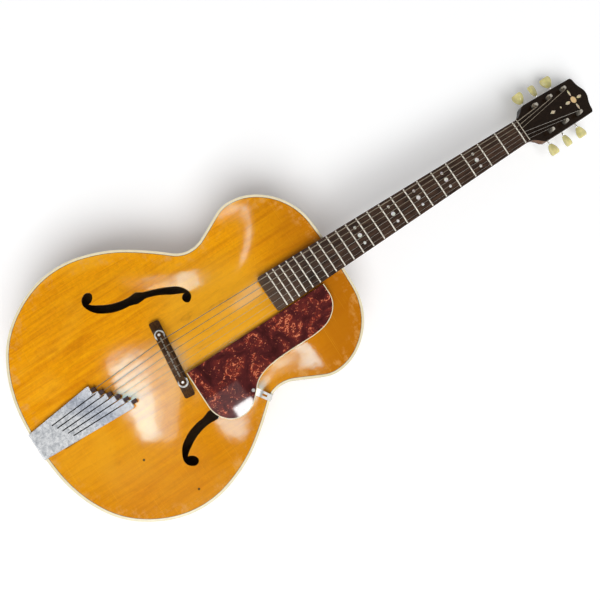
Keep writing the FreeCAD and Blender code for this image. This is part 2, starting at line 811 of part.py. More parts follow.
def inlay_faces(gap):
    """Faces of the headstock inlay, each grown by the gap."""
    grow = 2 * gap
    disc = Part.Face(Part.Wire(Part.makeCircle(INLAY_DISC / 2 + gap)))
    dot = Part.Face(Part.Wire(Part.makeCircle(INLAY_DOT / 2 + gap)))
    petal = petal_face(INLAY_PETAL_LENGTH + grow, INLAY_PETAL_WIDTH + grow)
    leaf = petal_face(INLAY_SIDE_LENGTH + grow, INLAY_SIDE_WIDTH + grow)
    leaf.rotate(V(0, 0, 0), Z_AXIS, 90)
    half = V(INLAY_DIAMOND_WIDTH / 2 + gap, INLAY_DIAMOND_LENGTH / 2 + gap, 0)
    diamond = polygon_face([V(half.x, 0, 0), V(0, half.y, 0), V(-half.x, 0, 0), V(0, -half.y, 0)])
    faces = [shifted(disc, V(0, INLAY_DISC_AT, 0)), shifted(dot, V(0, INLAY_DOT_AT, 0)),
             shifted(diamond, V(0, INLAY_DIAMOND_AT, 0))]
    for side in (-1, 1):
        faces.append(shifted(petal, V(0, INLAY_DISC_AT + side * INLAY_PETAL_OFFSET, 0)))
        faces.append(shifted(leaf, V(side * INLAY_SIDE_OFFSET, INLAY_DISC_AT, 0)))
    return faces


def inlay_solids(gap):
    low = VENEER_THICKNESS - INLAY_DEPTH - gap
    return [shifted(face, V(0, 0, low)).extrude(V(0, 0, INLAY_DEPTH + gap)) for face in inlay_faces(gap)]


def veneer():
    blank = head_face(HEAD_HALF).extrude(V(0, 0, VENEER_THICKNESS - GLUE))
    blank = shifted(blank, V(0, 0, GLUE))
    nut_edge = box(V(-HEAD_WIDTH, -GLUE, 0), V(HEAD_WIDTH, GLUE, VENEER_THICKNESS))
    cuts = [nut_edge] + inlay_solids(GLUE) + post_holes(BUSHING_RADIUS + GLUE)
    return placed(blank.cut(group(cuts)), HEAD)


# Tuning machines

PITCH_RADIUS = GEAR_TEETH * WORM_PITCH / (2 * math.pi)
WORM_RADIUS = (WORM_ROOT_RADIUS + WORM_TIP_RADIUS) / 2
WORM_OFFSET = PITCH_RADIUS + WORM_RADIUS + MESH_GAP
PLATE_LOW = -HEAD_THICKNESS - PLATE_THICKNESS
WORM_Z = -HEAD_THICKNESS - WORM_DEPTH
POSTS = [POST_FIRST + POST_PITCH * n for n in range(3)]
EAR_OUT = WORM_BODY / 2 + EAR_GAP


def post_holes(radius):
    low = V(0, 0, -2 * HEAD_THICKNESS)
    holes = []
    for side in (-1, 1):
        for y in POSTS:
            holes.append(Part.makeCylinder(radius, 4 * HEAD_THICKNESS, low + V(side * POST_OUT, y, 0)))
    return holes


def small_screw_frames():
    """Seats of the plate screws, heads behind the headstock."""
    places = [POSTS[0] - SMALL_SCREW_FIRST] + [y + WORM_OFFSET + SMALL_SCREW_STEP for y in POSTS]
    frames = []
    for side in (-1, 1):
        for y in places:
            seat = Placement(V(side * POST_OUT, y, PLATE_LOW), Rotation(X_AXIS, 180))
            frames.append(HEAD.multiply(seat))
    return frames


def small_screw_pilots():
    hole = pilot(SMALL_SCREW_RADIUS, SMALL_SCREW_LENGTH)
    return [placed(hole, frame) for frame in small_screw_frames()]


def tuner_plate(side):
    """Plate for three machines, with a pair of bearing ears for each worm."""
    half = PLATE_WIDTH / 2
    low = V(side * POST_OUT - half, POSTS[0] - PLATE_END, PLATE_LOW)
    high = V(side * POST_OUT + half, POSTS[-1] + WORM_OFFSET + PLATE_END, -HEAD_THICKNESS - GLUE)
    plate = box(low, high)
    plate = plate.makeFillet(half / 2, [edge for edge in plate.Edges if edge.BoundBox.ZLength > 0.5])
    bores = []
    for y in POSTS:
        worm = V(side * POST_OUT, y + WORM_OFFSET, WORM_Z)
        for ear_side in (-1, 1):
            inner = worm + V(ear_side * EAR_OUT, 0, 0)
            outer = inner + V(ear_side * EAR_THICKNESS, 0, 0)
            foot = WORM_Z - WORM_SHAFT_RADIUS - EAR_PAST_SHAFT
            low = V(min(inner.x, outer.x), worm.y - EAR_WIDTH / 2, foot)
            high = V(max(inner.x, outer.x), worm.y + EAR_WIDTH / 2, -HEAD_THICKNESS - PLATE_THICKNESS / 2)
            plate = plate.fuse(box(low, high))
        start = worm - V(2 * EAR_OUT, 0, 0)
        bores.append(Part.makeCylinder(WORM_SHAFT_RADIUS + RUNNING, 4 * EAR_OUT, start, X_AXIS))
    bores += post_holes(POST_RADIUS + RUNNING)
    plate = placed(plate.cut(group(bores)), HEAD)
    return plate.cut(group(small_screw_pilots())).removeSplitter()


def bushings():
    pieces = []
    for side in (-1, 1):
        for y in POSTS:
            seat = V(side * POST_OUT, y, VENEER_THICKNESS + GLUE)
            sleeve = Part.makeCylinder(BUSHING_RADIUS, BUSHING_LENGTH, seat - V(0, 0, BUSHING_LENGTH))
            flange = Part.makeCylinder(BUSHING_FLANGE_RADIUS, BUSHING_FLANGE, seat)
            pieces.append(sleeve.fuse(flange).removeSplitter())
    return group(pieces).cut(group(post_holes(POST_RADIUS + RUNNING)))


def gear():
    """Toothed wheel about Z with a tooth towards +Y, centred on its thickness."""
    root = PITCH_RADIUS - GEAR_DEDENDUM
    tip = PITCH_RADIUS + GEAR_ADDENDUM
    half = GEAR_TOOTH / 2
    corners = []
    for n in range(GEAR_TEETH):
        turn = Rotation(Z_AXIS, 360 * n / GEAR_TEETH)
        for x, y in ((half, root), (half, tip), (-half, tip), (-half, root)):
            corners.append(turn.multVec(V(x, y, -GEAR_THICKNESS / 2)))
    return polygon_face(corners).extrude(V(0, 0, GEAR_THICKNESS))


def string_post(number):
    """String post with its hub and gear."""
    side, place = STRING_POSTS[number]
    foot = WORM_Z + GEAR_THICKNESS / 2
    stem = Part.makeCylinder(POST_RADIUS, POST_TOP - foot, V(0, 0, foot))
    stem = stem.makeChamfer(0.6, [edge for edge in stem.Edges if edge.BoundBox.ZMin > POST_TOP - 0.1])
    hub_top = PLATE_LOW - RUNNING
    hub = Part.makeCylinder(HUB_RADIUS, hub_top - foot, V(0, 0, foot))
    eye = Part.makeCylinder(POST_HOLE_RADIUS, 4 * POST_RADIUS, V(0, -2 * POST_RADIUS, POST_HOLE_AT), Y_AXIS)
    post = stem.cut(eye).fuse(hub).fuse(shifted(gear(), V(0, 0, WORM_Z)))
    frame = HEAD.multiply(Placement(V(side * POST_OUT, POSTS[place], 0), Rotation()))
    return placed(post.removeSplitter(), frame)


def worm_frame(number):
    side, place = STRING_POSTS[number]
    return HEAD.multiply(Placement(V(side * POST_OUT, POSTS[place] + WORM_OFFSET, WORM_Z), Rotation()))


def worm(number):
    """Worm on its shaft along X, the thread's gap facing the gear."""
    side = STRING_POSTS[number][0]
    start = -WORM_TURNS * WORM_PITCH / 2
    helix = shifted(Part.makeHelix(WORM_PITCH, WORM_TURNS * WORM_PITCH, WORM_RADIUS), V(0, 0, start))
    inner = WORM_ROOT_RADIUS - 0.3
    root = WORM_THREAD_ROOT / 2
    tip = WORM_THREAD_TIP / 2
    profile = [V(inner, 0, start - root), V(WORM_TIP_RADIUS, 0, start - tip),
               V(WORM_TIP_RADIUS, 0, start + tip), V(inner, 0, start + root)]
    thread = Part.Wire(helix.Edges).makePipeShell([Part.makePolygon(profile + profile[:1])], True, True)
    core = Part.makeCylinder(WORM_ROOT_RADIUS, WORM_BODY, V(0, 0, -WORM_BODY / 2))
    inner_end = EAR_OUT + EAR_THICKNESS
    outer_end = KNOB_INNER - POST_OUT + KNOB_BORE_DEPTH - GLUE
    low = -inner_end if side > 0 else -outer_end
    shaft = Part.makeCylinder(WORM_SHAFT_RADIUS, inner_end + outer_end, V(0, 0, low))
    piece = core.fuse(shaft).fuse(thread).removeSplitter()
    return placed(placed(piece, Placement(V(0, 0, 0), Rotation(Y_AXIS, 90))), worm_frame(number))


def knob(number):
    """Flattened button that flares from its shaft to a blunt outer end."""
    side = STRING_POSTS[number][0]
    neck = KNOB_NECK / 2
    width = KNOB_WIDTH / 2
    thickness = KNOB_THICKNESS / 2
    shape = ((0, neck, neck), (0.14, 0.56 * width, 0.86 * thickness), (0.4, 0.86 * width, thickness),
             (0.64, width, thickness), (0.84, 0.97 * width, 0.98 * thickness),
             (0.96, 0.85 * width, 0.84 * thickness), (1, 0.7 * width, 0.62 * thickness))
    sections = []
    for share, across, deep in shape:
        ring = Part.Ellipse(V(0, 0, 0), across, deep).toShape() if across > deep else Part.makeCircle(neck)
        sections.append(shifted(Part.Wire(ring), V(0, 0, share * KNOB_LENGTH)))
    button = Part.makeLoft(sections, True, False)
    button = button.cut(Part.makeCylinder(WORM_SHAFT_RADIUS + 0.4 * GLUE, KNOB_BORE_DEPTH))
    button.rotate(V(0, 0, 0), Z_AXIS, 90 + KNOB_TURNS[number])
    seat = Placement(V(side * (KNOB_INNER - POST_OUT), 0, 0), Rotation(Y_AXIS, 90 * side))
    return placed(placed(button, seat), worm_frame(number))


# Strings


def string_x(number, spread):
    """Place across the neck; the first string is on the treble side."""
    return spread / 2 - (number - 1) * spread / (len(STRINGS) - 1)


def string_at_fret(number):
    x = string_x(number, NUT_SPREAD)
    return V(x, NUT_Y, FRET_HEIGHT - camber_drop(x) + STRING_DIAMETERS[number] / 2 + GLUE)


def string_at_nut(number):
    return string_at_fret(number) + V(0, NUT_FROM_ZERO_FRET + NUT_THICKNESS * 0.7, -STRING_DROP_AT_NUT)


def saddle_place(number):
    """Where a string crosses the saddle, in the bridge's frame."""
    x = (string_x(number, SADDLE_SPREAD) - BRIDGE_OUT) / math.cos(math.radians(BRIDGE_SLANT))
    return V(x, 0, SADDLE_CROWN - camber_drop(x))


def winding(number, approach):
    """Stations of a string round its post, in the headstock's frame, and the place where they start."""
    side, place = STRING_POSTS[number]
    centre = V(side * POST_OUT, POSTS[place], 0)
    diameter = STRING_DIAMETERS[number]
    radius = POST_RADIUS + STRING_GAP + diameter / 2
    away = V(approach.x, approach.y, 0) - centre
    turn = -side
    first = math.atan2(away.y, away.x) + turn * math.acos(radius / away.Length)
    drop = (diameter + WINDING_GAP) / 4
    nodes = []
    for quarter in range(WINDING_QUARTERS + 1):
        angle = first + turn * quarter * math.pi / 2
        out = V(math.cos(angle), math.sin(angle), 0)
        way = V(-out.y * turn, out.x * turn, -drop / (radius * math.pi / 2)).normalize()
        nodes.append((centre + out * radius + V(0, 0, WINDING_TOP - drop * quarter), way))
    return nodes


def anchor_point(number):
    """Where a string is held in its anchor block."""
    return anchor_frame(number).multVec(V(0, ANCHOR_LENGTH - ANCHOR_GRIP, -TAIL_THICKNESS))


def string_piece(number):
    diameter = STRING_DIAMETERS[number]
    nut = NECK.multVec(string_at_nut(number))
    nodes = [(HEAD.multVec(point), HEAD.Rotation.multVec(way))
             for point, way in winding(number, HEAD.inverse().multVec(nut))]
    saddle = BRIDGE.multVec(saddle_place(number) + V(0, 0, diameter / 2 + STRING_GAP))
    runs = [anchor_point(number), saddle, NECK.multVec(string_at_fret(number)), nut, nodes[0][0]]
    edges = rounded_run(runs, STRING_BEND)
    path = [(nodes[0][0], (nodes[0][0] - nut).normalize())]
    for point, way in nodes[1:]:
        path += biarc(path[-1][0], path[-1][1], point, way)
    points = [point for point, way in path]
    turns = [arc_edge(*points[i:i + 3]) for i in range(0, len(points) - 2, 2)]
    last, last_way = nodes[-1]
    tail = Part.LineSegment(last, last + last_way * diameter).toShape()
    profile = Part.Wire(Part.makeCircle(diameter / 2, runs[0], (saddle - runs[0]).normalize()))
    wire = Part.Wire(edges + turns + [tail])
    piece = wire.makePipeShell([profile], True, False)
    share = piece.Volume / (wire.Length * math.pi * diameter ** 2 / 4)
    print("string", number, "length", round(wire.Length, 1), "volume share", round(share, 4))
    print("string", number, "gap between turns", round(turn_gap(turns, diameter), 2))
    return piece


def turn_gap(turns, diameter):
    """Least gap of a winding to itself, on points a half turn or more apart."""
    points = [point for edge in turns for point in edge.discretize(Number=7)[:-1]]
    half_turn = 7 * 4
    gaps = [(a - b).Length for i, a in enumerate(points) for b in points[i + half_turn:]]
    return min(gaps) - diameter


# Bridge

BASE_TOP = top_height(BRIDGE_OUT, -BRIDGE_AT) + BASE_HEIGHT
WHEEL_LOW = BASE_TOP + SADDLE_TRAVEL + WHEEL_STOP_GAP
SADDLE_LOW = WHEEL_LOW + WHEEL_THICKNESS + RUNNING
SADDLE_CROWN = BOARD_RISE + BRIDGE_AT * math.tan(math.radians(NECK_ANGLE)) + STRING_RISE_AT_SADDLE
SADDLE_TOP = SADDLE_CROWN - SADDLE_FRET_RADIUS - GLUE
BRIDGE_POST_TOP = SADDLE_TOP - camber_drop(BRIDGE_POST_SPREAD / 2) + BRIDGE_POST_PROUD


def bridge_columns(radius, low, high):
    half = BRIDGE_POST_SPREAD / 2
    return [Part.makeCylinder(radius, high - low, V(x, 0, low)) for x in (-half, half)]


def bridge_base():
    half = BASE_LENGTH / 2
    flat = half - BASE_END_SLOPE
    end = BASE_TOP - BASE_END_DROP
    corners = [V(-half, 0, 0), V(half, 0, 0), V(half, 0, end), V(flat, 0, BASE_TOP),
               V(-flat, 0, BASE_TOP), V(-half, 0, end)]
    blank = shifted(polygon_face(corners), V(0, -BASE_WIDTH / 2, 0)).extrude(V(0, BASE_WIDTH, 0))
    upright = [edge for edge in blank.Edges if abs(edge.tangentAt(edge.FirstParameter).z) > 0.9]
    blank = blank.makeFillet(BASE_CORNER, upright)
    blank = placed(blank, BRIDGE).cut(under_top(-GLUE, 2 * TOP_ARCH))
    reach = BASE_RELIEF_LENGTH / 2
    relief = placed(box(V(-reach, -BASE_WIDTH, 0), V(reach, BASE_WIDTH, BASE_TOP)), BRIDGE)
    relief = relief.common(under_top(-BASE_RELIEF_HEIGHT, 2 * TOP_ARCH))
    seat_low = BASE_TOP - BRIDGE_POST_SEAT - GLUE
    seats = bridge_columns(BRIDGE_POST_RADIUS + 0.4 * GLUE, seat_low, 2 * BASE_TOP)
    return blank.cut(relief).cut(placed(group(seats), BRIDGE))


def bridge_posts():
    pieces = []
    for column in bridge_columns(BRIDGE_POST_RADIUS, BASE_TOP - BRIDGE_POST_SEAT, BRIDGE_POST_TOP):
        rim = [edge for edge in column.Edges if edge.BoundBox.ZMin > BRIDGE_POST_TOP - 0.1]
        pieces.append(placed(column.makeFillet(0.6 * BRIDGE_POST_RADIUS, rim), BRIDGE))
    return pieces


def thumbwheel(side):
    """Notched wheel that carries one end of the saddle."""
    corners = []
    for n in range(2 * WHEEL_NOTCHES):
        radius = WHEEL_RADIUS - WHEEL_NOTCH * (n % 2)
        corners.append(heading(180 * n / WHEEL_NOTCHES) * radius + V(0, 0, WHEEL_LOW))
    wheel = polygon_face(corners).extrude(V(0, 0, WHEEL_THICKNESS))
    wheel = wheel.cut(Part.makeCylinder(BRIDGE_POST_RADIUS + RUNNING, 2 * BASE_TOP))
    return placed(shifted(wheel, V(side * BRIDGE_POST_SPREAD / 2, 0, 0)), BRIDGE)


def bridge_saddle():
    half = BRIDGE_POST_SPREAD / 2
    bar = box(V(-half, -SADDLE_WIDTH / 2, SADDLE_LOW), V(half, SADDLE_WIDTH / 2, SADDLE_CROWN))
    for column in bridge_columns(SADDLE_END_RADIUS, SADDLE_LOW, SADDLE_CROWN):
        bar = bar.fuse(column)
    axis_end = V(0, -BASE_WIDTH, SADDLE_TOP - BOARD_RADIUS)
    camber = Part.makeCylinder(BOARD_RADIUS, 2 * BASE_WIDTH, axis_end, Y_AXIS)
    bores = bridge_columns(BRIDGE_POST_RADIUS + RUNNING, 0, 2 * SADDLE_CROWN)
    return placed(bar.common(camber).cut(group(bores)).removeSplitter(), BRIDGE)


def saddle_fret(number):
    """Half-round wire under one string."""
    start = V(-SADDLE_FRET_LENGTH / 2, 0, 0)
    rod = Part.makeCylinder(SADDLE_FRET_RADIUS, SADDLE_FRET_LENGTH, start, X_AXIS)
    upper = box(V(-SADDLE_FRET_LENGTH, -SADDLE_WIDTH, 0), V(SADDLE_FRET_LENGTH, SADDLE_WIDTH, SADDLE_WIDTH))
    place = saddle_place(number)
    lean = math.degrees(math.asin(place.x / BOARD_RADIUS))
    frame = Placement(place - V(0, 0, SADDLE_FRET_RADIUS), Rotation(Y_AXIS, lean))
    return placed(placed(rod.common(upper), frame), BRIDGE)


# Tailpiece

TAIL_START_Y = TAIL_FACE_Y - TAIL_THICKNESS
TAIL_BEND_END = V(TAIL_START_Y + TAIL_BEND * (1 - math.sin(math.radians(TAIL_SLOPE))),
                  TAIL_CREST - TAIL_BEND * (1 - math.cos(math.radians(TAIL_SLOPE))), 0)
TAIL_TIPS = [TAIL_REACH - TAIL_STEP * n - BODY_LENGTH for n in reversed(range(len(STRINGS)))]
TAIL_SLOTS = range(-2, 3)


def slot_top_x(place):
    return TAIL_SLOT_TOP_CENTRE + TAIL_SLOT_TOP_PITCH * place


TAIL_SIDES = [-TAIL_TIP_LEFT] + [slot_top_x(place) for place in TAIL_SLOTS] + [TAIL_TIP_RIGHT]


def tail_frame(x, y):
    """Frame on the upper face of the tailpiece, Y up its slope."""
    z = TAIL_BEND_END.y + (y - TAIL_BEND_END.x) * math.tan(math.radians(TAIL_SLOPE))
    return Placement(V(x, y, z), Rotation(X_AXIS, TAIL_SLOPE))


def anchor_frame(number):
    finger = len(STRINGS) - number
    return tail_frame(slot_top_x(finger - 2.5), TAIL_TIPS[finger])


def tail_blank():
    """Bent strip as wide as the whole tailpiece: flange, bend and slope."""
    far = TAIL_BEND_END + heading(TAIL_SLOPE) * (TAIL_REACH + TAIL_BEND)
    path = stations([
        (TAIL_START_Y, TAIL_CREST - TAIL_FLANGE_LENGTH, 90),
        (TAIL_START_Y, TAIL_CREST - TAIL_BEND, 90),
        (TAIL_BEND_END.x, TAIL_BEND_END.y, TAIL_SLOPE),
        (far.x, far.y, TAIL_SLOPE),
    ])
    width = TAIL_TIP_LEFT + TAIL_TIP_RIGHT
    strip = band_face(path, 0, TAIL_THICKNESS).extrude(V(0, 0, width))
    to_side = Placement(V(-TAIL_TIP_LEFT, 0, 0), Rotation(V(1, 1, 1), 120))
    return placed(strip, to_side)


def tail_plan():
    """Plan of the tailpiece: sides that widen forwards and stepped finger tips."""
    foot = TAIL_START_Y - TAIL_BEND
    points = [V(-TAIL_LEFT, foot, 0), V(TAIL_RIGHT, foot, 0)]
    for n in reversed(range(len(STRINGS))):
        points.append(V(TAIL_SIDES[n + 1], TAIL_TIPS[n], 0))
        points.append(V(TAIL_SIDES[n], TAIL_TIPS[n], 0))
    return polygon_face(points)


def tail_slot(place):
    """Narrow slot between two fingers."""
    half = V(TAIL_SLOT_WIDTH / 2, 0, 0)
    foot_y = TAIL_SLOT_FOOT + TAIL_SLOT_FOOT_STEP * place - BODY_LENGTH
    foot = V(TAIL_SLOT_FOOT_CENTRE + TAIL_SLOT_FOOT_PITCH * place, foot_y, 0)
    top = V(slot_top_x(place), TAIL_TIPS[-1] + TAIL_STEP, 0)
    return polygon_face([foot - half, foot + half, top + half, top - half])


def tail_rolls(radius, trim):
    """Rolled finger tips."""
    rolls = []
    for n, y in enumerate(TAIL_TIPS):
        left = TAIL_SIDES[n] + trim
        length = TAIL_SIDES[n + 1] - trim - left
        middle = tail_frame(left, y).multVec(V(0, 0, -TAIL_THICKNESS / 2))
        rolls.append(Part.makeCylinder(radius, length, middle, X_AXIS))
    return rolls


def tailpiece():
    tall = 2 * (TAIL_REACH + TAIL_FLANGE_LENGTH)
    flat = [tail_plan()] + [tail_slot(place) for place in TAIL_SLOTS]
    plan, *slots = [shifted(face, V(0, 0, -tall / 2)).extrude(V(0, 0, tall)) for face in flat]
    piece = tail_blank().common(plan).cut(group(slots))
    for roll in tail_rolls(TAIL_ROLL_RADIUS, TAIL_SLOT_WIDTH / 2):
        piece = piece.fuse(roll)
    return drilled(piece.removeSplitter())


def anchor(number):
    """Block hooked under a finger tip that grips one string."""
    half = TAIL_SLOT_TOP_PITCH / 2 - TAIL_SLOT_WIDTH / 2 - ANCHOR_SIDE_GAP
    low = -TAIL_THICKNESS - ANCHOR_DEPTH
    front = TAIL_ROLL_RADIUS + GLUE
    hook = box(V(-half, -ANCHOR_UNDER, low), V(half, front, -TAIL_THICKNESS - GLUE))
    hook = hook.fuse(box(V(-half, front, low), V(half, ANCHOR_LENGTH, ANCHOR_TOP)))
    roll = Part.makeCylinder(front, 4 * half, V(-2 * half, 0, -TAIL_THICKNESS / 2), X_AXIS)
    piece = placed(hook.cut(roll).removeSplitter(), anchor_frame(number))
    start = anchor_point(number)
    diameter = STRING_DIAMETERS[number]
    way = BRIDGE.multVec(saddle_place(number) + V(0, 0, diameter / 2 + STRING_GAP)) - start
    way.normalize()
    bore_radius = diameter / 2 + ANCHOR_BORE_GAP
    return piece.cut(Part.makeCylinder(bore_radius, 2 * ANCHOR_LENGTH, start - way * GLUE, way))


# Pickguard


def guard_path():
    """Stations of the guard's edge, from the top of the string side round to its foot."""
    length = GUARD_FOOT_AT - GUARD_TOP_AT
    waist = GUARD_MIDDLE_OUT
    return stations([
        (GUARD_STRING_SIDE, 0, 0),
        (GUARD_TOP_OUT, 0, 0),
        (GUARD_UPPER_OUT, -0.15 * length, -79),
        (waist, -0.367 * length, -91),
        (waist + 2.3, -0.568 * length, -80),
        ((waist + GUARD_LOWER_OUT) / 2 - 3.2, -0.692 * length, -41),
        (GUARD_LOWER_OUT, -0.849 * length, -90),
        (GUARD_FOOT_OUT, -length, -180),
        (GUARD_STRING_SIDE, -length, -180),
    ])


GUARD_PATH = guard_path()


def guard_slab(face):
    slab = shifted(face, V(0, 0, -GUARD_THICKNESS)).extrude(V(0, 0, GUARD_THICKNESS))
    return drilled(placed(slab, GUARD))


def pickguard():
    inset = GUARD_EDGE + GLUE
    start, end = ends(GUARD_PATH, inset)
    edges = station_edges(GUARD_PATH, inset) + [Part.LineSegment(end, start).toShape()]
    return guard_slab(closed_face(edges))


def pickguard_post():
    """Spacer between the soundboard and the guard, glued to both."""
    seat = V(GUARD_POST_OUT, GUARD_TOP_AT - GUARD_POST_AT, -GUARD_THICKNESS - GLUE)
    column = Part.makeCylinder(GUARD_POST_RADIUS, GUARD_TOP_HEIGHT, V(0, 0, -GUARD_TOP_HEIGHT))
    column = placed(column, GUARD.multiply(Placement(seat, Rotation())))
    return column.cut(under_top(-GLUE, 2 * GUARD_TOP_HEIGHT))


def bracket_root():
    """Rim point of the bracket and its outward direction."""
    rim = Part.Wire(station_edges(HALF)).discretize(Number=8 * RIM_SAMPLES)
    place = min(range(1, len(rim) - 1), key=lambda n: abs(rim[n].y + BRACKET_AT))
    along = (rim[place + 1] - rim[place - 1]).normalize()
    return rim[place], -right_of(along)


BRACKET_ROOT, BRACKET_OUT = bracket_root()
BRACKET_FACE = FACE_GAP + BRACKET_THICKNESS


def bracket_guard_seat():
    """Seat of the bracket's upper screw on the guard."""
    below = BRACKET_ROOT - BRACKET_OUT * (BRACKET_REACH - BRACKET_SCREW_IN)
    local = GUARD.inverse().multVec(V(below.x, below.y, GUARD_TOP_HEIGHT))
    return GUARD.multiply(Placement(V(local.x, local.y, 0), Rotation()))


def bracket_lap_height():
    """Height of the bracket's upper face, under the lowest part of the guard above it."""
    seat = bracket_guard_seat().multVec(V(0, 0, -GUARD_THICKNESS)).z
    return seat - BRACKET_LAP * math.tan(math.radians(GUARD_TILT)) - GLUE


def pickguard_bracket():
    """Bent metal strip from the rim up to the underside of the guard."""
    height = bracket_lap_height()
    path = stations([
        (-BRACKET_REACH, height, 0),
        (BRACKET_LAP - BRACKET_REACH, height, 0),
        (-0.5 * BRACKET_BEND, BRACKET_BEND, -58),
        (BRACKET_FACE, -0.5 * BRACKET_BEND, -90),
        (BRACKET_FACE, -BRACKET_FLANGE, -90),
    ])
    strip = band_face(path, 0, BRACKET_THICKNESS).extrude(V(0, 0, BRACKET_WIDTH))
    sideways = BRACKET_OUT.cross(Z_AXIS)
    frame = Placement(BRACKET_ROOT - sideways * (BRACKET_WIDTH / 2),
                      Rotation(BRACKET_OUT, Z_AXIS, sideways, "XYZ"))
    middle = 0.5 * (BRACKET_LAP - BRACKET_REACH)
    half = V(BRACKET_SLOT_LENGTH / 2, BRACKET_SLOT_WIDTH / 2, 0)
    slot = box(V(middle, 0, 0) - half, V(middle, 0, 2 * height) + half)
    turned = Placement(BRACKET_ROOT, Rotation(BRACKET_OUT, -sideways, Z_AXIS, "XYZ"))
    rim = outline_prism(-GLUE, -RIM_DEPTH, GLUE)
    return drilled(placed(strip, frame).cut(placed(slot, turned)).cut(rim))


# Screws


def wood_screw_frames():
    """Seats of the larger screws, Z towards the head."""
    flange = BRACKET_ROOT + BRACKET_OUT * BRACKET_FACE - Z_AXIS * BRACKET_SCREW_DROP
    frames = [bracket_guard_seat(), Placement(flange, Rotation(Z_AXIS, BRACKET_OUT))]
    for side in (-1, 1):
        seat = V(side * TAIL_SCREW_SPREAD / 2, TAIL_START_Y, -TAIL_SCREW_DROP)
        frames.append(Placement(seat, Rotation(Z_AXIS, -Y_AXIS)))
    return frames


def drilled(shape):
    """The shape with the holes of all larger screws that reach it."""
    hole = pilot(SCREW_RADIUS, SCREW_LENGTH)
    return shape.cut(group([placed(hole, frame) for frame in wood_screw_frames()]))


def wood_screw(frame):
    return placed(screw(SCREW_RADIUS, SCREW_LENGTH, SCREW_HEAD_RADIUS, SCREW_HEAD), frame)


def small_screw(frame):
    piece = screw(SMALL_SCREW_RADIUS, SMALL_SCREW_LENGTH, SMALL_SCREW_HEAD_RADIUS, SMALL_SCREW_HEAD)
    return placed(piece, frame)


# Pieces


def make_body():
    inset = BINDING_WIDTH + GLUE
    hole = f_hole()
    top = under_top(0, TOP_THICKNESS).common(outline_prism(inset, -RIM_DEPTH, 2 * TOP_ARCH))
    export("soundboard", top.cut(hole).cut(mirrored(hole)))
    lowest = -RIM_DEPTH - 2 * BACK_ARCH
    export("back_plate", over_back(0, BACK_THICKNESS).common(outline_prism(inset, lowest, 0)))
    export("top_binding", outline_ring(0, BINDING_WIDTH, -BINDING_HEIGHT, 0))
    export("back_binding", outline_ring(0, BINDING_WIDTH, -RIM_DEPTH, BINDING_HEIGHT - RIM_DEPTH))
    strip = shifted(band_face(HALF, 0, RIB_THICKNESS), V(0, 0, BINDING_HEIGHT - RIM_DEPTH))
    rib = strip.extrude(V(0, 0, RIM_DEPTH - 2 * BINDING_HEIGHT)).cut(tenon(GLUE))
    export("rib_treble", drilled(rib))
    export("rib_bass", drilled(mirrored(rib)))
    linings = [lining(under_top(TOP_THICKNESS + GLUE, LINING_HEIGHT)),
               lining(over_back(BACK_THICKNESS + GLUE, LINING_HEIGHT))]
    export("kerfed_linings", drilled(group(linings)))
    export("neck_block", block(-NECK_BLOCK_LENGTH, 0).cut(tenon(GLUE)))
    export("tail_block", drilled(block(-BODY_LENGTH, TAIL_BLOCK_LENGTH - BODY_LENGTH)))
    export("tone_bars", group([tone_bar(side) for side in (-1, 1)]))


def make_neck():
    export("neck", neck_piece())
    export("neck_reinforcement", bar_space(0))
    export("heel_cap", heel_cap_blank().cut(body_envelope()))
    blank = board_blank()
    places = [NUT_Y - at for at in FRETS]
    cuts = [fret_slot(y) for y in places]
    dots = []
    for foot, radius in dot_places():
        cuts.append(Part.makeCylinder(radius + GLUE, BOARD_THICKNESS, foot - V(0, 0, GLUE)))
        dots.append(Part.makeCylinder(radius, BOARD_THICKNESS, foot).common(blank))
    board = blank.cut(group(cuts))
    export("fingerboard", placed(board, NECK))
    export("position_dots", placed(group(dots), NECK))
    export("frets", placed(group([fret(y) for y in places]), NECK))
    export("nut", nut_piece())
    export("headstock_veneer", veneer())
    export("headstock_inlay", placed(group(inlay_solids(0)), HEAD))


def make_tuners():
    export("tuner_plate_bass", tuner_plate(-1))
    export("tuner_plate_treble", tuner_plate(1))
    export("tuner_plate_screws", group([small_screw(frame) for frame in small_screw_frames()]))
    export("tuner_bushings", placed(bushings(), HEAD))
    for number in STRINGS:
        export("tuner_knob_" + str(number), knob(number))
        export("tuner_worm_" + str(number), worm(number))
        export("string_post_" + str(number), string_post(number))
        export("string_" + str(number), string_piece(number))


def make_fittings():
    export("bridge_base", bridge_base())
    export("bridge_saddle", bridge_saddle())
    export("saddle_frets", group([saddle_fret(number) for number in STRINGS]))
    export("bridge_posts", group(bridge_posts()))
    export("thumbwheel_bass", thumbwheel(-1))
    export("thumbwheel_treble", thumbwheel(1))
    export("tailpiece", tailpiece())
    export("tailpiece_anchors", group([anchor(number) for number in STRINGS]))
    export("pickguard", pickguard())
    export("pickguard_edging", guard_slab(band_face(GUARD_PATH, 0, GUARD_EDGE)))
    export("pickguard_bracket", pickguard_bracket())
    export("pickguard_post", pickguard_post())
    export("wood_screws", group([wood_screw(frame) for frame in wood_screw_frames()]))


if __name__ == "__main__":
    make_body()
    make_neck()
    make_tuners()
    make_fittings()
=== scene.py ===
"""Looks for an archtop guitar on its back: finishes for every solid, fine trim, stage and camera."""

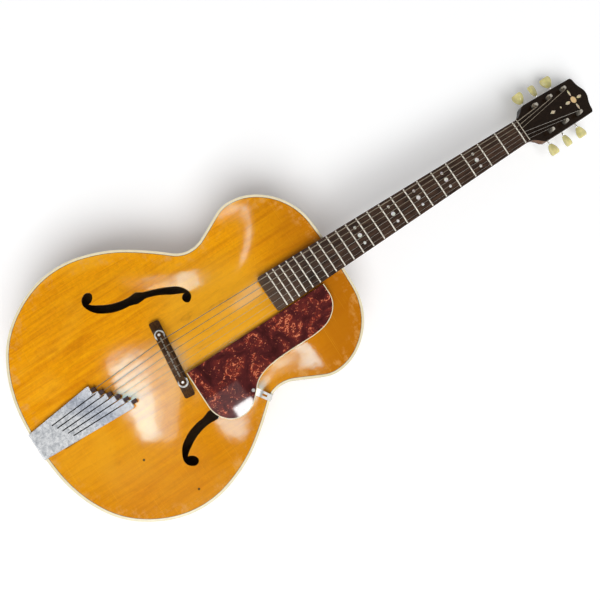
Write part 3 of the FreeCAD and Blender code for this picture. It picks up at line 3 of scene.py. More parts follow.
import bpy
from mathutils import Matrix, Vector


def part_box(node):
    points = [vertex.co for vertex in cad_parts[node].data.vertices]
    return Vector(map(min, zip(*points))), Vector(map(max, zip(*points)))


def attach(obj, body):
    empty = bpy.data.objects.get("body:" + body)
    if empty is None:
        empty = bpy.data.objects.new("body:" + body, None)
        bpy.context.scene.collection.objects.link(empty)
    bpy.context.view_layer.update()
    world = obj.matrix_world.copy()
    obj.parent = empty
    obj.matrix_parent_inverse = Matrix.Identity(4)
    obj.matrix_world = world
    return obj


bl_info = {
    "name": "Archtop Guitar Finish",
    "version": (1, 0, 0),
    "blender": (4, 5, 0),
    "location": "View3D > Sidebar > Guitar",
    "description": "Lacquers, plastics, metals and fine trim for a packed archtop guitar",
    "category": "Object",
}

import math

import bmesh
import bpy
from bpy.props import FloatProperty, FloatVectorProperty, PointerProperty
from mathutils import Euler, Quaternion, Vector

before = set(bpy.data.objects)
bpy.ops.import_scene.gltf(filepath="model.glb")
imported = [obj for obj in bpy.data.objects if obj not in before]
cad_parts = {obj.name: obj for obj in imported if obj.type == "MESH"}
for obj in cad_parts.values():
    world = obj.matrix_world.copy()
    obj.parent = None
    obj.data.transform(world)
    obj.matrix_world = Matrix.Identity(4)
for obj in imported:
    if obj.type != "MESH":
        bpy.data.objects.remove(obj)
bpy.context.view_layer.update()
ROOT = "instrument"
MM = 0.001
STRING_COUNT = 6
WHITE = (1, 1, 1)
LACQUER_IOR = 1.5

# Places on the guitar in metres; a pair gives where a change begins and where it is complete
BODY_MIDDLE = Vector((0.0, -0.22))
NUT_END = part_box("nut")[1].y
NUT_STRIP = (NUT_END - 1.1 * MM, NUT_END - 0.9 * MM)
HEAD_START = (NUT_END, NUT_END + 3 * MM)
PIN_HOLES = ((0.1785, -0.3567, 0.1021), (0.1000, -0.3980, 0.1126))
PIN_HOLE_RADIUS = 2.2 * MM
BARE_MIDDLE = (0.0, -0.20, 0.117)
BARE_RADIUS = 0.12
# Darker amber towards the neck
NECK_DARKENING = (-0.11, 0.03)
# Painted shade that darkens the treble side of the soundboard
TREBLE_SHADE = (-0.06, 0.15)
RIM_HEIGHT = (0.1018, 0.1003)
# Painted sheen: the fingerboard lightens towards its end over the body
BOARD_END_SHEEN = (-0.06, -0.15)
# Painted dark reflection: the strings darken past the fingerboard
STRING_REFLECTION_DARKENING = (-0.12, -0.17)
TAIL_SIDES = (0.027, 0.024)
TAIL_FRONT = (-0.394, -0.400)
TAIL_END = (-0.485, -0.480)
FINGER_SHADE = (-0.450, -0.425)
# Painted highlight that lightens the fingers towards their tips
FINGER_TIP_HIGHLIGHT = (-0.415, -0.398)
SIDE_PETALS = 9.5 * MM
INLAY_DISC = 9.6 * MM
PURFLING_GAP = 0.05 * MM
PURFLING_HEIGHT = 0.12 * MM

# Slopes of lines across the guitar, Y for each X
# The slant carries the darkening by the neck further onto the treble side, as painted shade
NECK_DARKENING_SLANT = 0.4
TAIL_SLANT = 0.62

# How far a face looks along an axis, from -1 to 1
INSIDE_FACING = 0.3
TOP_FACING = 0.5
# Painted shade on the headstock's bass edge
BASS_EDGE_SHADE = (-0.60, -0.70)
# Painted highlight where the tailpiece's fingers roll over
ROLLED_EDGE_HIGHLIGHT = (0.10, 0.45)

# Patterns: detail per metre along X, Y and Z, and the turns of the guard's strokes in radians
BOARD_GRAIN = (330, 12, 330)
GUARD_STROKES = (470, 150, 330)
STROKE_TURNS = (0.5, 1.9)

# Lamps and floor in metres; the core of the glow is a part of its reach
KEY_PLACE = Vector((5.6, -3.4, 10.0))
KEY_SIDE = 8.0
LAMP_AIM = Vector((0, -0.15, 0.05))
FLOOR_REACH = 12
FLOOR_DROP = 0.5 * MM
GLOW_REACH = 3.0
GLOW_CORE = 0.3

# How steeply one looks up where the ceiling begins and where it is darkest, 1 being straight up
CEILING_START = 0.35
CEILING_FULL = 0.85

# Millimetres
SENSOR_WIDTH = 36

# Name, strength, sides and place in metres, and spin in degrees of each box that shows in the gloss
SHINE_BOXES = (
    ("treble_box", 1.2, (0.034, 0.055), (0.233, -0.117, 0.5), 0),
    ("sound_hole_box", 0.8, (0.06, 0.06), (0.277, -0.183, 0.5), 0),
    ("bass_box", 1.0, (0.014, 0.12), (-0.272, -0.037, 0.5), 19),
    ("waist_box", 1.3, (0.24, 0.08), (-1.25, 0.17, 1.8), 55),
    ("board_box", 0.35, (0.18, 0.22), (-0.28, 0.10, 1.8), 0),
    ("guard_box", 1.9, (0.04, 0.05), (0.141, -0.161, 0.9), 0),
    ("guard_veil", 0.06, (0.13, 0.13), (0.135, -0.205, 0.9), 0),
    ("overhead_box", 1.25, (0.60, 0.19), (0.02, -0.59, 1.8), -17),
    ("overhead_haze", 0.35, (0.70, 0.15), (0.12, -0.43, 1.8), -17),
)


# Properties


def colour(name, description, default):
    return FloatVectorProperty(name=name, description=description, default=default, size=3, min=0, max=1,
                               subtype="COLOR")


def length(name, description, default):
    return FloatProperty(name=name, description=description, default=default, min=0, unit="LENGTH",
                         subtype="DISTANCE", precision=5)


def share(name, description, default):
    return FloatProperty(name=name, description=description, default=default, min=0, max=1, subtype="FACTOR")


class GuitarWoods(bpy.types.PropertyGroup):
    """Colours of the wooden pieces."""
    top_dark: colour("Top, winter grain", "Dark lines of the soundboard's grain", (0.92, 0.345, 0.001))
    top_light: colour("Top, summer grain", "Pale wood between the grain lines", (0.98, 0.425, 0.001))
    top_worn: colour("Top, thin lacquer", "Patches where the amber lacquer is thin", (0.96, 0.475, 0.025))
    # Also laid on the treble side as painted shade
    top_aged: colour("Top, aged lacquer", "Darker amber of the upper bout and the worn places",
                     (0.50, 0.150, 0.001))
    top_rubbed: colour("Top, rubbed edge", "Places near the binding where the lacquer is rubbed",
                       (0.80, 0.40, 0.10))
    top_mark: colour("Top, marks", "Brown marks of use between bridge and fingerboard", (0.42, 0.15, 0.006))
    # Painted shade: dark wood under the tailpiece in place of its shadow
    top_grime: colour("Top, grime", "Grimy wood under the tailpiece", (0.03, 0.02, 0.012))
    # Painted shade: dark spots in place of the inside of the pin holes
    pin_hole: colour("Top, pin holes", "Dark inside of the pin holes", (0.02, 0.01, 0.004))
    top_gloss: colour("Top, gloss", "Cool tint of what the soundboard's lacquer mirrors", (0.50, 0.92, 1.0))
    side_dark: colour("Sides, dark flame", "Dark bands of the ribs and the back", (0.46, 0.155, 0.008))
    side_light: colour("Sides, pale flame", "Pale bands of the ribs and the back", (0.76, 0.320, 0.030))
    neck_dark: colour("Neck, dark grain", "Dark streaks of the neck", (0.095, 0.036, 0.014))
    neck_light: colour("Neck, pale grain", "Pale streaks of the neck", (0.24, 0.105, 0.042))
    board_dark: colour("Fingerboard, dark grain", "Dark streaks of the fingerboard", (0.016, 0.009, 0.006))
    board_light: colour("Fingerboard, pale grain", "Pale streaks of the fingerboard", (0.084, 0.044, 0.026))
    # Painted sheen at the fingerboard's end
    board_worn: colour("Fingerboard, worn end", "Dusty wood at the end over the body", (0.150, 0.088, 0.050))
    bridge_dark: colour("Bridge, dark grain", "Dark streaks of the bridge", (0.030, 0.013, 0.006))
    bridge_light: colour("Bridge, pale grain", "Pale streaks of the bridge", (0.100, 0.046, 0.016))
    face_black: colour("Headstock face", "Black lacquer of the headstock", (0.009, 0.005, 0.0028))
    inner: colour("Inside", "Bare wood inside the body", (0.30, 0.17, 0.075))
    lacquer_roughness: share("Lacquer roughness", "Roughness of the clear lacquer", 0.10)


class GuitarPlastics(bpy.types.PropertyGroup):
    """Colours of bindings, shell, nut, knobs and small dark pieces."""
    binding: colour("Binding", "Cream of the bindings, heel cap and guard edging", (0.86, 0.77, 0.52))
    purfling: colour("Purfling", "Dark line inside the binding", (0.085, 0.050, 0.020))
    knob: colour("Knobs", "Aged cream plastic of the tuner knobs", (0.80, 0.73, 0.32))
    pearl: colour("Pearl", "Shell of the dots", (0.88, 0.87, 0.82))
    gold_pearl: colour("Inlay", "Golden shell of the headstock inlay", (0.74, 0.62, 0.38))
    gold_centre: colour("Inlay centre", "Amber shell of the disc in the inlay", (0.80, 0.52, 0.22))
    nut_dark: colour("Nut", "Dark wood of the nut", (0.040, 0.020, 0.012))
    nut_pale: colour("Nut edge", "Pale strip on the head side of the nut", (0.78, 0.72, 0.58))
    guard_dark: colour("Guard, ground", "Dark ground of the pickguard", (0.088, 0.014, 0.014))
    guard_fleck: colour("Guard, flecks", "Red flecks of the pickguard", (0.40, 0.055, 0.028))
    guard_bright: colour("Guard, sparks", "Brightest specks of the pickguard", (0.74, 0.23, 0.11))
    guard_post: colour("Guard post", "Dark spacer under the pickguard", (0.03, 0.024, 0.022))
    anchor: colour("Anchors", "Dark blocks that hold the strings at the tailpiece", (0.045, 0.020, 0.018))
    purfling_reach: length("Purfling reach", "How far the dark line reaches in from the soundboard's edge",
                           0.6 * MM)


class GuitarMetals(bpy.types.PropertyGroup):
    """Colours of plated and bare metal."""
    nickel: colour("Nickel", "Plating of tuners, bridge metal, bracket and screws", (0.78, 0.77, 0.73))
    tail_dark: colour("Tailpiece, dark", "Dark mottling of the tailpiece", (0.42, 0.44, 0.47))
    tail_light: colour("Tailpiece, pale", "Pale mottling of the tailpiece", (0.94, 0.95, 0.96))
    tail_shade: colour("Tailpiece, fingers", "Tint that darkens the tailpiece's fingers", (0.66, 0.69, 0.76))
    tarnish: colour("Bushings", "Tarnished bushings of the string posts", (0.080, 0.068, 0.058))
    post: colour("String posts", "Worn plating of the string posts", (0.68, 0.63, 0.54))
    fret: colour("Frets", "Fret wire", (0.90, 0.86, 0.75))
    steel: colour("Steel bar", "Bare steel of the bar in the neck", (0.35, 0.34, 0.33))
    plain_string: colour("Plain strings", "Steel of the thin strings", (0.57, 0.53, 0.47))
    wound_string: colour("Wound strings", "Winding of the thick strings", (0.45, 0.38, 0.29))
    # Painted dark reflection of the strings past the fingerboard
    string_dull: colour("Dull strings", "Tint of the strings past the fingerboard", (0.80, 0.74, 0.66))


class GuitarStage(bpy.types.PropertyGroup):
    """Camera, lamps, sky and floor."""
    eye: FloatVectorProperty(name="Camera", description="Place of the camera", size=3, subtype="XYZ",
                             unit="LENGTH", default=(0.0907, -0.24775, 1.3240))
    turn: FloatVectorProperty(name="Camera turn", description="Rotation of the camera", size=3,
                              subtype="EULER", unit="ROTATION",
                              default=tuple(math.radians(a) for a in (6.565, -4.8555, 56.2328)))
    lens: FloatProperty(name="Lens", description="Focal length of the camera", default=49.737, min=1)
    key: share("Key", "Light that the large far lamp gives a level face", 0.785)
    shine: FloatProperty(name="Shine", description="Brightness of the boxes that show in the lacquer",
                         default=13, min=0)
    sky: share("Sky", "Strength of the even light all round", 0.28)
    zenith: share("Ceiling", "How bright the ceiling looks in polished faces", 0.08)
    floor: colour("Floor, lit", "Floor as it throws light back on the guitar", (0.8, 0.8, 0.8))
    paper: colour("Floor, seen", "Floor as the camera and polished faces see it", (0.94, 0.945, 0.95))
    floor_glow: share("Floor glow", "White that is added to the seen floor near the guitar", 0.13)


# Colour helpers


def scaled(values, factor):
    return [factor * value for value in values]


def between(start, end, part):
    """Colour that lies a part of the way from one colour to another."""
    return [a + part * (b - a) for a, b in zip(start, end)]


# Node helpers


class Finish:
    """One material under construction, a principled surface and the nodes that feed it."""

    def __init__(self, name, base, roughness, metallic=0.0):
        self.material = bpy.data.materials.new(name)
        self.material.use_nodes = True
        self.tree = self.material.node_tree
        self.surface = self.tree.nodes["Principled BSDF"]
        self.coordinates = self.node("TexCoord").outputs["Object"]
        self.set(**{"Base Color": (*base, 1), "Roughness": roughness, "Metallic": metallic})

    def set(self, **values):
        for name, value in values.items():
            self.surface.inputs[name.replace("_", " ")].default_value = value
        return self

    def lacquer(self, roughness, weight=1.0):
        """Clear coat in place of the surface's own gloss."""
        return self.set(Coat_Weight=weight, Coat_Roughness=roughness, Coat_IOR=LACQUER_IOR,
                        Specular_IOR_Level=0.0)

    def node(self, kind, **inputs):
        made = self.tree.nodes.new("ShaderNode" + kind)
        for name, value in inputs.items():
            self.feed(made.inputs[name.replace("_", " ")], value)
        return made

    def feed(self, socket, value):
        if isinstance(value, bpy.types.NodeSocket):
            self.tree.links.new(value, socket)
        else:
            socket.default_value = value

    def base(self, tone):
        self.feed(self.surface.inputs["Base Color"], tone)

    def paint(self, factor, tone, blend="MIX"):
        """Lays a tone over what feeds the base colour so far."""
        under = self.surface.inputs["Base Color"].links[0].from_socket
        self.base(self.mix(factor, under, tone, blend))

    def shade(self, pattern, low, tint, high):
        """Tints the base colour where a pattern is under low, and leaves it where it is over high."""
        self.paint(1.0, self.ramp(pattern, [(low, tint), (high, WHITE)]), "MULTIPLY")

    def stretched(self, scale, turn):
        """Object coordinates, scaled by axis; larger numbers give finer detail."""
        made = self.node("Mapping", Vector=self.coordinates, Scale=scale, Rotation=(0, 0, turn))
        return made.outputs["Vector"]

    def axis(self, name):
        return self.node("SeparateXYZ", Vector=self.coordinates).outputs[name]

    def facing(self, name):
        """How far the surface faces along an axis."""
        return self.node("SeparateXYZ", Vector=self.node("TexCoord").outputs["Normal"]).outputs[name]

    def spot(self, centre, radius, core=0.6):
        """1 in the core of a ball round a point, falling to 0 at its radius."""
        gap = self.tree.nodes.new("ShaderNodeVectorMath")
        gap.operation = "DISTANCE"
        self.feed(gap.inputs[0], self.coordinates)
        self.feed(gap.inputs[1], centre)
        return self.span(gap.outputs["Value"], radius, core * radius)

    def span(self, value, low, high):
        """0 at low, 1 at high."""
        return self.node("MapRange", Value=value, From_Min=low, From_Max=high).outputs["Result"]

    def noise(self, scale, detail=3.0, roughness=0.55, distortion=0.0, turn=0.0):
        """Noise with its own detail per metre along each axis."""
        return self.node("TexNoise", Vector=self.stretched(scale, turn), Scale=1.0, Detail=detail,
                         Roughness=roughness, Distortion=distortion).outputs["Fac"]

    def cells(self, scale, output, turn=0.0):
        """Cells with their own number per metre along each axis."""
        return self.node("TexVoronoi", Vector=self.stretched(scale, turn), Scale=1.0).outputs[output]

    def ramp(self, factor, stops):
        """Colour ramp; each stop is a place and a colour."""
        made = self.node("ValToRGB", Fac=factor)
        elements = made.color_ramp.elements
        while len(elements) < len(stops):
            elements.new(0.5)
        for element, (place, tone) in zip(elements, stops):
            element.position = place
            element.color = (*tone, 1)
        return made.outputs["Color"]

    def window(self, factor, low, high):
        """Grey ramp from 0 at low to 1 at high."""
        return self.ramp(factor, [(low, (0, 0, 0)), (high, WHITE)])

    def mix(self, factor, a, b, blend="MIX"):
        made = self.tree.nodes.new("ShaderNodeMix")
        made.data_type = "RGBA"
        made.blend_type = blend
        self.feed(made.inputs[0], factor)
        for socket, value in ((made.inputs[6], a), (made.inputs[7], b)):
            self.feed(socket, value if isinstance(value, bpy.types.NodeSocket) else (*value, 1))
        return made.outputs[2]

    def math(self, operation, a, b):
        made = self.tree.nodes.new("ShaderNodeMath")
        made.operation = operation
        self.feed(made.inputs[0], a)
        self.feed(made.inputs[1], b)
        return made.outputs[0]

    def times(self, a, b):
        return self.math("MULTIPLY", a, b)

    def roughen(self, factor, low, high):
        made = self.node("MapRange", Value=factor, To_Min=low, To_Max=high)
        self.feed(self.surface.inputs["Roughness"], made.outputs["Result"])

    def bump(self, height, distance):
        made = self.node("Bump", Height=height, Distance=distance, Strength=1.0)
        self.feed(self.surface.inputs["Normal"], made.outputs["Normal"])


def tail_front(made):
    """Rises along the guitar, with level lines along the slanting front of the tailpiece."""
    return made.math("SUBTRACT", made.axis("Y"), made.times(made.axis("X"), TAIL_SLANT))


def dress(finish, *names):
    """Gives solids of the frame their finish."""
    for name in names:
        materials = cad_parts[name].data.materials
        materials.clear()
        materials.append(finish.material)


def numbered(stem):
    """Names of the six like pieces, one for each string."""
    return [stem + "_" + str(number) for number in range(1, STRING_COUNT + 1)]


def line_inside(finish, name, pick):
    """Gives the faces of a solid that pick accepts a second finish."""
    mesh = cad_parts[name].data
    mesh.materials.append(finish.material)
    for face in mesh.polygons:
        if pick(face):
            face.material_index = 1


def faces_middle(face):
    """True for a face of a rib that looks into the body."""
    return face.normal.to_2d().dot(face.center.to_2d() - BODY_MIDDLE) < 0


def lacquered_wood(name, dark, light, grain, figure, figure_share, lacquer):
    """Wood with fine grain lines, a broader figure and a clear coat."""
    made = Finish(name, light, 0.42)
    lines = made.noise(grain, detail=4, roughness=0.65)
    made.base(made.ramp(lines, [(0.30, dark), (0.52, between(dark, light, 0.5)), (0.72, light)]))
    bands = made.noise(figure, detail=2)
    made.shade(bands, 0.35, [1 - figure_share] * 3, 0.65)
    made.roughen(lines, 0.36, 0.50)
    made.bump(lines, 0.04 * MM)
    return made.lacquer(lacquer)


def streaked_wood(name, dark, light, grain, roughness):
    """Open-pored dark wood without a thick lacquer."""
    made = Finish(name, dark, roughness)
    streaks = made.noise(grain, detail=5, roughness=0.7)
    pores = made.noise(scaled(grain, 2.6), detail=2)
    tone = made.ramp(streaks, [(0.34, dark), (0.62, light), (0.74, dark)])
    pits = made.window(pores, 0.36, 0.46)
    made.base(made.mix(pits, dark, tone))
    made.set(Specular_IOR_Level=0.3)
    made.roughen(streaks, roughness - 0.08, roughness + 0.10)
    made.bump(pits, 0.06 * MM)
    return made


def plastic(name, tone, roughness, cloud=0.10):
    """Smooth plastic with a slight clouding of its colour."""
    made = Finish(name, tone, roughness)
    clouds = made.noise((90, 90, 90), detail=3)
    made.base(made.ramp(clouds, [(0.35, scaled(tone, 1 - cloud)), (0.65, tone)]))
    made.roughen(clouds, roughness * 0.8, roughness * 1.2)
    return made


def plated(name, tone, roughness, dull=0.25):
    """Plated metal with smudges and dull specks."""
    made = Finish(name, tone, roughness, 1.0)
    smudges = made.noise((220, 220, 220), detail=5, roughness=0.65)
    made.base(made.ramp(smudges, [(0.32, scaled(tone, 1 - dull)), (0.6, tone)]))
    made.roughen(smudges, roughness * 1.6, roughness * 0.7)
    return made


def pearl(name, tone):
    """Shell with cells of slightly different tints and a wavy sheen."""
    made = Finish(name, tone, 0.22)
    made.base(made.mix(0.14, tone, made.cells((260, 260, 260), "Color")))
    waves = made.noise((500, 900, 500), detail=3, distortion=2.5)
    made.shade(waves, 0.34, (0.62, 0.62, 0.62), 0.6)
    made.roughen(waves, 0.16, 0.32)
    return made.lacquer(0.08, 0.6)


# Mesh helpers


def new_piece(name, mesh, finish):
    piece = bpy.data.objects.new(name, mesh)
    bpy.context.scene.collection.objects.link(piece)
    mesh.materials.append(finish.material)
    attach(piece, ROOT)


def edge_loops(node, pick):
    """Closed loops of points round the faces of a solid that pick accepts, the longest first."""
    work = bmesh.new()
    work.from_mesh(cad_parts[node].data)
    bmesh.ops.remove_doubles(work, verts=work.verts, dist=1e-6)
    chosen = [face for face in work.faces if pick(face)]
    inside = set(chosen)
    following = {}
    for face in chosen:
        for loop in face.loops:
            if sum(other in inside for other in loop.edge.link_faces) == 1:
                following[loop.vert] = loop.link_loop_next.vert
    loops = []
    while following:
        start, here = following.popitem()
        points = [start.co.copy()]
        while here != start:
            points.append(here.co.copy())
            here = following.pop(here)
        loops.append(points)
    work.free()
    return sorted(loops, key=len, reverse=True)


def ribbon(name, loop, near, far, height):
    """Flat band along a closed loop, between two distances to the left of it, raised by its height."""
    count = len(loop)
    work = bmesh.new()
    rows = []
    for i, point in enumerate(loop):
        along = loop[(i + 1) % count] - loop[i - 1]
        left = Vector((-along.y, along.x, 0)).normalized()
        low = point + left * near
        high = point + left * far
        lift = Vector((0, 0, height))
        rows.append([work.verts.new(p) for p in (low, low + lift, high + lift, high)])
    for i in range(count):
        a, b = rows[i], rows[(i + 1) % count]
        for k in range(4):
            work.faces.new((a[k], b[k], b[(k + 1) % 4], a[(k + 1) % 4]))
    bmesh.ops.recalc_face_normals(work, faces=work.faces)
    mesh = bpy.data.meshes.new(name)
    work.to_mesh(mesh)
    work.free()
    return mesh


# Operators


class GUITAR_OT_body(bpy.types.Operator):
    """Lacquer the body, its bindings and the bare wood inside, and lay the purfling"""
    bl_idname = "guitar.body"
    bl_label = "Body"

    def execute(self, context):
        woods = context.scene.guitar_woods
        plastics = context.scene.guitar_plastics
        dress(self.top_finish(woods), "soundboard")
        flamed = {"dark": woods.side_dark, "light": woods.side_light, "figure_share": 0.35,
                  "lacquer": woods.lacquer_roughness}
        side = lacquered_wood("side_lacquer", grain=(420, 420, 40), figure=(70, 70, 9), **flamed)
        dress(side, "rib_bass", "rib_treble")
        back = lacquered_wood("back_lacquer", grain=(420, 14, 40), figure=(14, 95, 9), **flamed)
        dress(back, "back_plate")
        binding = plastic("binding_cream", plastics.binding, 0.22)
        dress(binding, "top_binding", "back_binding", "heel_cap")
        inside = streaked_wood("inside_bare", scaled(woods.inner, 0.7), woods.inner, (300, 20, 300), 0.7)
        dress(inside, "kerfed_linings", "neck_block", "tail_block", "tone_bars")
        line_inside(inside, "back_plate", lambda face: face.normal.z > INSIDE_FACING)
        line_inside(inside, "soundboard", lambda face: face.normal.z < INSIDE_FACING)
        for name in ("rib_bass", "rib_treble"):
            line_inside(inside, name, faces_middle)
        self.purfling(plastics)
        return {"FINISHED"}

    def purfling(self, plastics):
        """Dark line on the soundboard along its binding."""
        outline = edge_loops("soundboard", lambda face: face.normal.z > TOP_FACING)[0]
        dark = plastic("purfling_dark", plastics.purfling, 0.3)
        line = ribbon("top_purfling", outline, PURFLING_GAP, plastics.purfling_reach, PURFLING_HEIGHT)
        new_piece("top_purfling", line, dark)

    def top_finish(self, woods):
        """Amber soundboard: grain and silk, then the lacquer's age and wear with painted shade, and what its
        gloss mirrors.
        """
        made = Finish("top_lacquer", woods.top_light, 0.5)
        grain = made.noise((430, 9, 60), detail=4, roughness=0.6)
        made.base(made.ramp(grain, [(0.30, woods.top_dark), (0.66, woods.top_light)]))
        silk = made.noise((70, 95, 70), detail=6, roughness=0.72, distortion=2.2)
        made.shade(silk, 0.34, (0.88, 0.82, 0.76), 0.60)
        streak = made.noise((130, 9, 30), detail=5, roughness=0.7, distortion=0.8)
        made.shade(streak, 0.38, (0.82, 0.73, 0.64), 0.57)
        self.age(made, woods)
        self.wear(made, woods)
        made.roughen(grain, 0.9 * woods.lacquer_roughness, 1.1 * woods.lacquer_roughness)
        ripple = made.noise((70, 40, 70), detail=4, roughness=0.6)
        made.bump(made.mix(0.2, ripple, grain), 0.2 * MM)
        return made.set(Specular_Tint=(*woods.top_gloss, 1))

    def age(self, made, woods):
        """Thin lacquer in clouds, a darker amber by the neck and in patches, and painted shade that darkens
        the treble side, also through the slant of the darkening by the neck.
        """
        cloud = made.noise((8, 6, 8), detail=3, distortion=0.6)
        made.paint(made.times(made.window(cloud, 0.48, 0.72), 0.55), woods.top_worn)
        # Darker towards the neck, slanted onto the treble side as painted shade
        slant = made.math("ADD", made.axis("Y"), made.times(made.axis("X"), NECK_DARKENING_SLANT))
        near_neck = made.span(made.math("ADD", slant, made.times(cloud, 0.10)), *NECK_DARKENING)
        made.paint(made.times(near_neck, 0.85), woods.top_aged)
        # Painted shade on the treble side
        treble_shade = made.span(made.axis("X"), *TREBLE_SHADE)
        made.paint(made.times(treble_shade, 0.46), woods.top_aged)
        patches = made.noise((26, 19, 26), detail=5, roughness=0.7)
        made.paint(made.times(made.window(patches, 0.58, 0.74), 0.45), woods.top_aged)

    def wear(self, made, woods):
        """Rubbed rim, scratches, the played patch with its marks, painted shade under the tailpiece and in
        the pin holes.
        """
        rim = made.times(made.span(made.axis("Z"), *RIM_HEIGHT), 0.6)
        rubbed = made.window(made.noise((60, 60, 60), detail=5, roughness=0.7), 0.50, 0.64)
        made.paint(made.times(rim, rubbed), woods.top_rubbed)
        scratch = made.noise((14, 900, 14), detail=2, roughness=0.4, turn=0.5)
        made.paint(made.times(made.window(scratch, 0.66, 0.72), 0.25), woods.top_worn)
        bare = made.spot(BARE_MIDDLE, BARE_RADIUS)
        made.paint(made.times(bare, 0.5), woods.top_worn)
        marks = made.window(made.noise((120, 30, 60), detail=4, roughness=0.6, distortion=1.0), 0.60, 0.72)
        made.paint(made.times(made.times(marks, bare), 0.4), woods.top_mark)
        # Painted shade under the tailpiece
        made.paint(self.under_tail(made), woods.top_grime)
        # Painted shade in the pin holes
        for pin in PIN_HOLES:
            made.paint(made.spot(pin, PIN_HOLE_RADIUS), woods.pin_hole)

    def under_tail(self, made):
        """1 on the wood that the tailpiece covers, which painted shade darkens."""
        across = made.math("ABSOLUTE", made.axis("X"), 0)
        covered = made.times(made.span(across, *TAIL_SIDES), made.span(tail_front(made), *TAIL_FRONT))
        return made.times(covered, made.span(made.axis("Y"), *TAIL_END))


class GUITAR_OT_neck(bpy.types.Operator):
    """Finish the neck, the fingerboard with its frets and dots, and the headstock"""
    bl_idname = "guitar.neck"
    bl_label = "Neck and headstock"

    def execute(self, context):
        woods = context.scene.guitar_woods
        plastics = context.scene.guitar_plastics
        metals = context.scene.guitar_metals
        neck = lacquered_wood("neck_lacquer", woods.neck_dark, woods.neck_light, grain=(380, 11, 380),
                              figure=(40, 25, 40), figure_share=0.3, lacquer=woods.lacquer_roughness)
        # Painted shade on the bass edge of the headstock
        self.black_edge(neck, woods)
        dress(neck.set(Coat_Weight=0.5), "neck")
        board = streaked_wood("fingerboard_wood", woods.board_dark, woods.board_light, BOARD_GRAIN, 0.40)
        # Painted sheen towards the end of the fingerboard
        board.paint(board.times(board.span(board.axis("Y"), *BOARD_END_SHEEN), 0.5), woods.board_worn)
        dress(board, "fingerboard")
        dress(plated("fret_wire", metals.fret, 0.36, 0.15).set(Metallic=0.45), "frets")
        dress(pearl("dot_pearl", plastics.pearl), "position_dots")
        dress(self.inlay_finish(plastics), "headstock_inlay")
        dress(self.nut_finish(plastics), "nut")
        face = streaked_wood("headstock_black", woods.face_black, scaled(woods.face_black, 2.2),
                             BOARD_GRAIN, 0.30)
        dress(face.lacquer(0.1, 0.12), "headstock_veneer")
        dress(plated("reinforcement_steel", metals.steel, 0.5), "neck_reinforcement")
        return {"FINISHED"}

    def black_edge(self, neck, woods):
        """Paints the headstock's bass edge in the face's black: painted shade on the side turned away from
        the light.
        """
        head = neck.span(neck.axis("Y"), *HEAD_START)
        edge = neck.times(head, neck.span(neck.facing("X"), *BASS_EDGE_SHADE))
        neck.paint(edge, woods.face_black)

    def inlay_finish(self, plastics):
        """Golden shell with an amber disc in the middle of its four petals."""
        made = pearl("inlay_pearl", plastics.gold_pearl)
        points = [vertex.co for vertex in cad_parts["headstock_inlay"].data.vertices]
        petals = [point for point in points if abs(point.x) > SIDE_PETALS]
        disc = made.spot(sum(petals, Vector()) / len(petals), INLAY_DISC)
        made.paint(made.times(disc, 0.8), plastics.gold_centre)
        return made

    def nut_finish(self, plastics):
        """Dark wood with a pale strip along the head side."""
        made = Finish("nut_wood", plastics.nut_dark, 0.4)
        streaks = made.noise((200, 700, 700), detail=4)
        made.base(made.ramp(streaks, [(0.35, scaled(plastics.nut_dark, 0.6)), (0.62, plastics.nut_dark)]))
        made.paint(made.span(made.axis("Y"), *NUT_STRIP), plastics.nut_pale)
        made.roughen(streaks, 0.32, 0.46)
        return made


class GUITAR_OT_tuners(bpy.types.Operator):
    """Plate the tuning machines and cast their knobs"""
    bl_idname = "guitar.tuners"
    bl_label = "Tuning machines"

    def execute(self, context):
        plastics = context.scene.guitar_plastics
        metals = context.scene.guitar_metals
        nickel = plated("tuner_nickel", metals.nickel, 0.22)
        dress(nickel, "tuner_plate_bass", "tuner_plate_treble", "tuner_plate_screws", *numbered("tuner_worm"))
        dress(plated("bushing_tarnish", metals.tarnish, 0.5, 0.5), "tuner_bushings")
        dress(plated("post_worn_nickel", metals.post, 0.4, 0.4), *numbered("string_post"))
        knobs = plastic("knob_cream", plastics.knob, 0.18, 0.25)
        knobs.set(Subsurface_Weight=0.25, Subsurface_Radius=(0.004, 0.003, 0.0012), Subsurface_Scale=1.0)
        dress(knobs.lacquer(0.06, 0.8), *numbered("tuner_knob"))
        return {"FINISHED"}


class GUITAR_OT_strings(bpy.types.Operator):
    """Finish the plain and the wound strings"""
    bl_idname = "guitar.strings"
    bl_label = "Strings"

    def execute(self, context):
        metals = context.scene.guitar_metals
        plain = plated("string_plain", metals.plain_string, 0.4)
        self.dull(plain, metals)
        dress(plain, "string_1", "string_2", "string_3")
        wound = plated("string_wound", metals.wound_string, 0.42, 0.4)
        turns = wound.node("TexWave", Vector=wound.coordinates, Scale=800)
        turns.bands_direction = "Y"
        wound.bump(turns.outputs["Fac"], 0.08 * MM)
        self.dull(wound, metals)
        dress(wound, "string_4", "string_5", "string_6")
        return {"FINISHED"}

    def dull(self, string, metals):
        """Darkens a string past the end of the fingerboard: a painted dark reflection."""
        # Painted dark reflection past the fingerboard
        past = string.span(string.axis("Y"), *STRING_REFLECTION_DARKENING)
        string.paint(past, metals.string_dull, "MULTIPLY")


class GUITAR_OT_bridge(bpy.types.Operator):
    """Finish the bridge base, its saddle and the height wheels"""
    bl_idname = "guitar.bridge"
    bl_label = "Bridge"

    def execute(self, context):
        woods = context.scene.guitar_woods
        metals = context.scene.guitar_metals
        wood = streaked_wood("bridge_wood", woods.bridge_dark, woods.bridge_light, (30, 420, 420), 0.36)
        dress(wood.lacquer(0.2, 0.12), "bridge_base", "bridge_saddle")
        dress(plated("post_nickel", metals.nickel, 0.28), "bridge_posts")
        wheel = plated("wheel_nickel", scaled(metals.nickel, 0.78), 0.42, 0.45)
        dress(wheel, "thumbwheel_bass", "thumbwheel_treble")
        dress(plated("saddle_wire", scaled(metals.fret, 0.45), 0.45, 0.4), "saddle_frets")
        return {"FINISHED"}


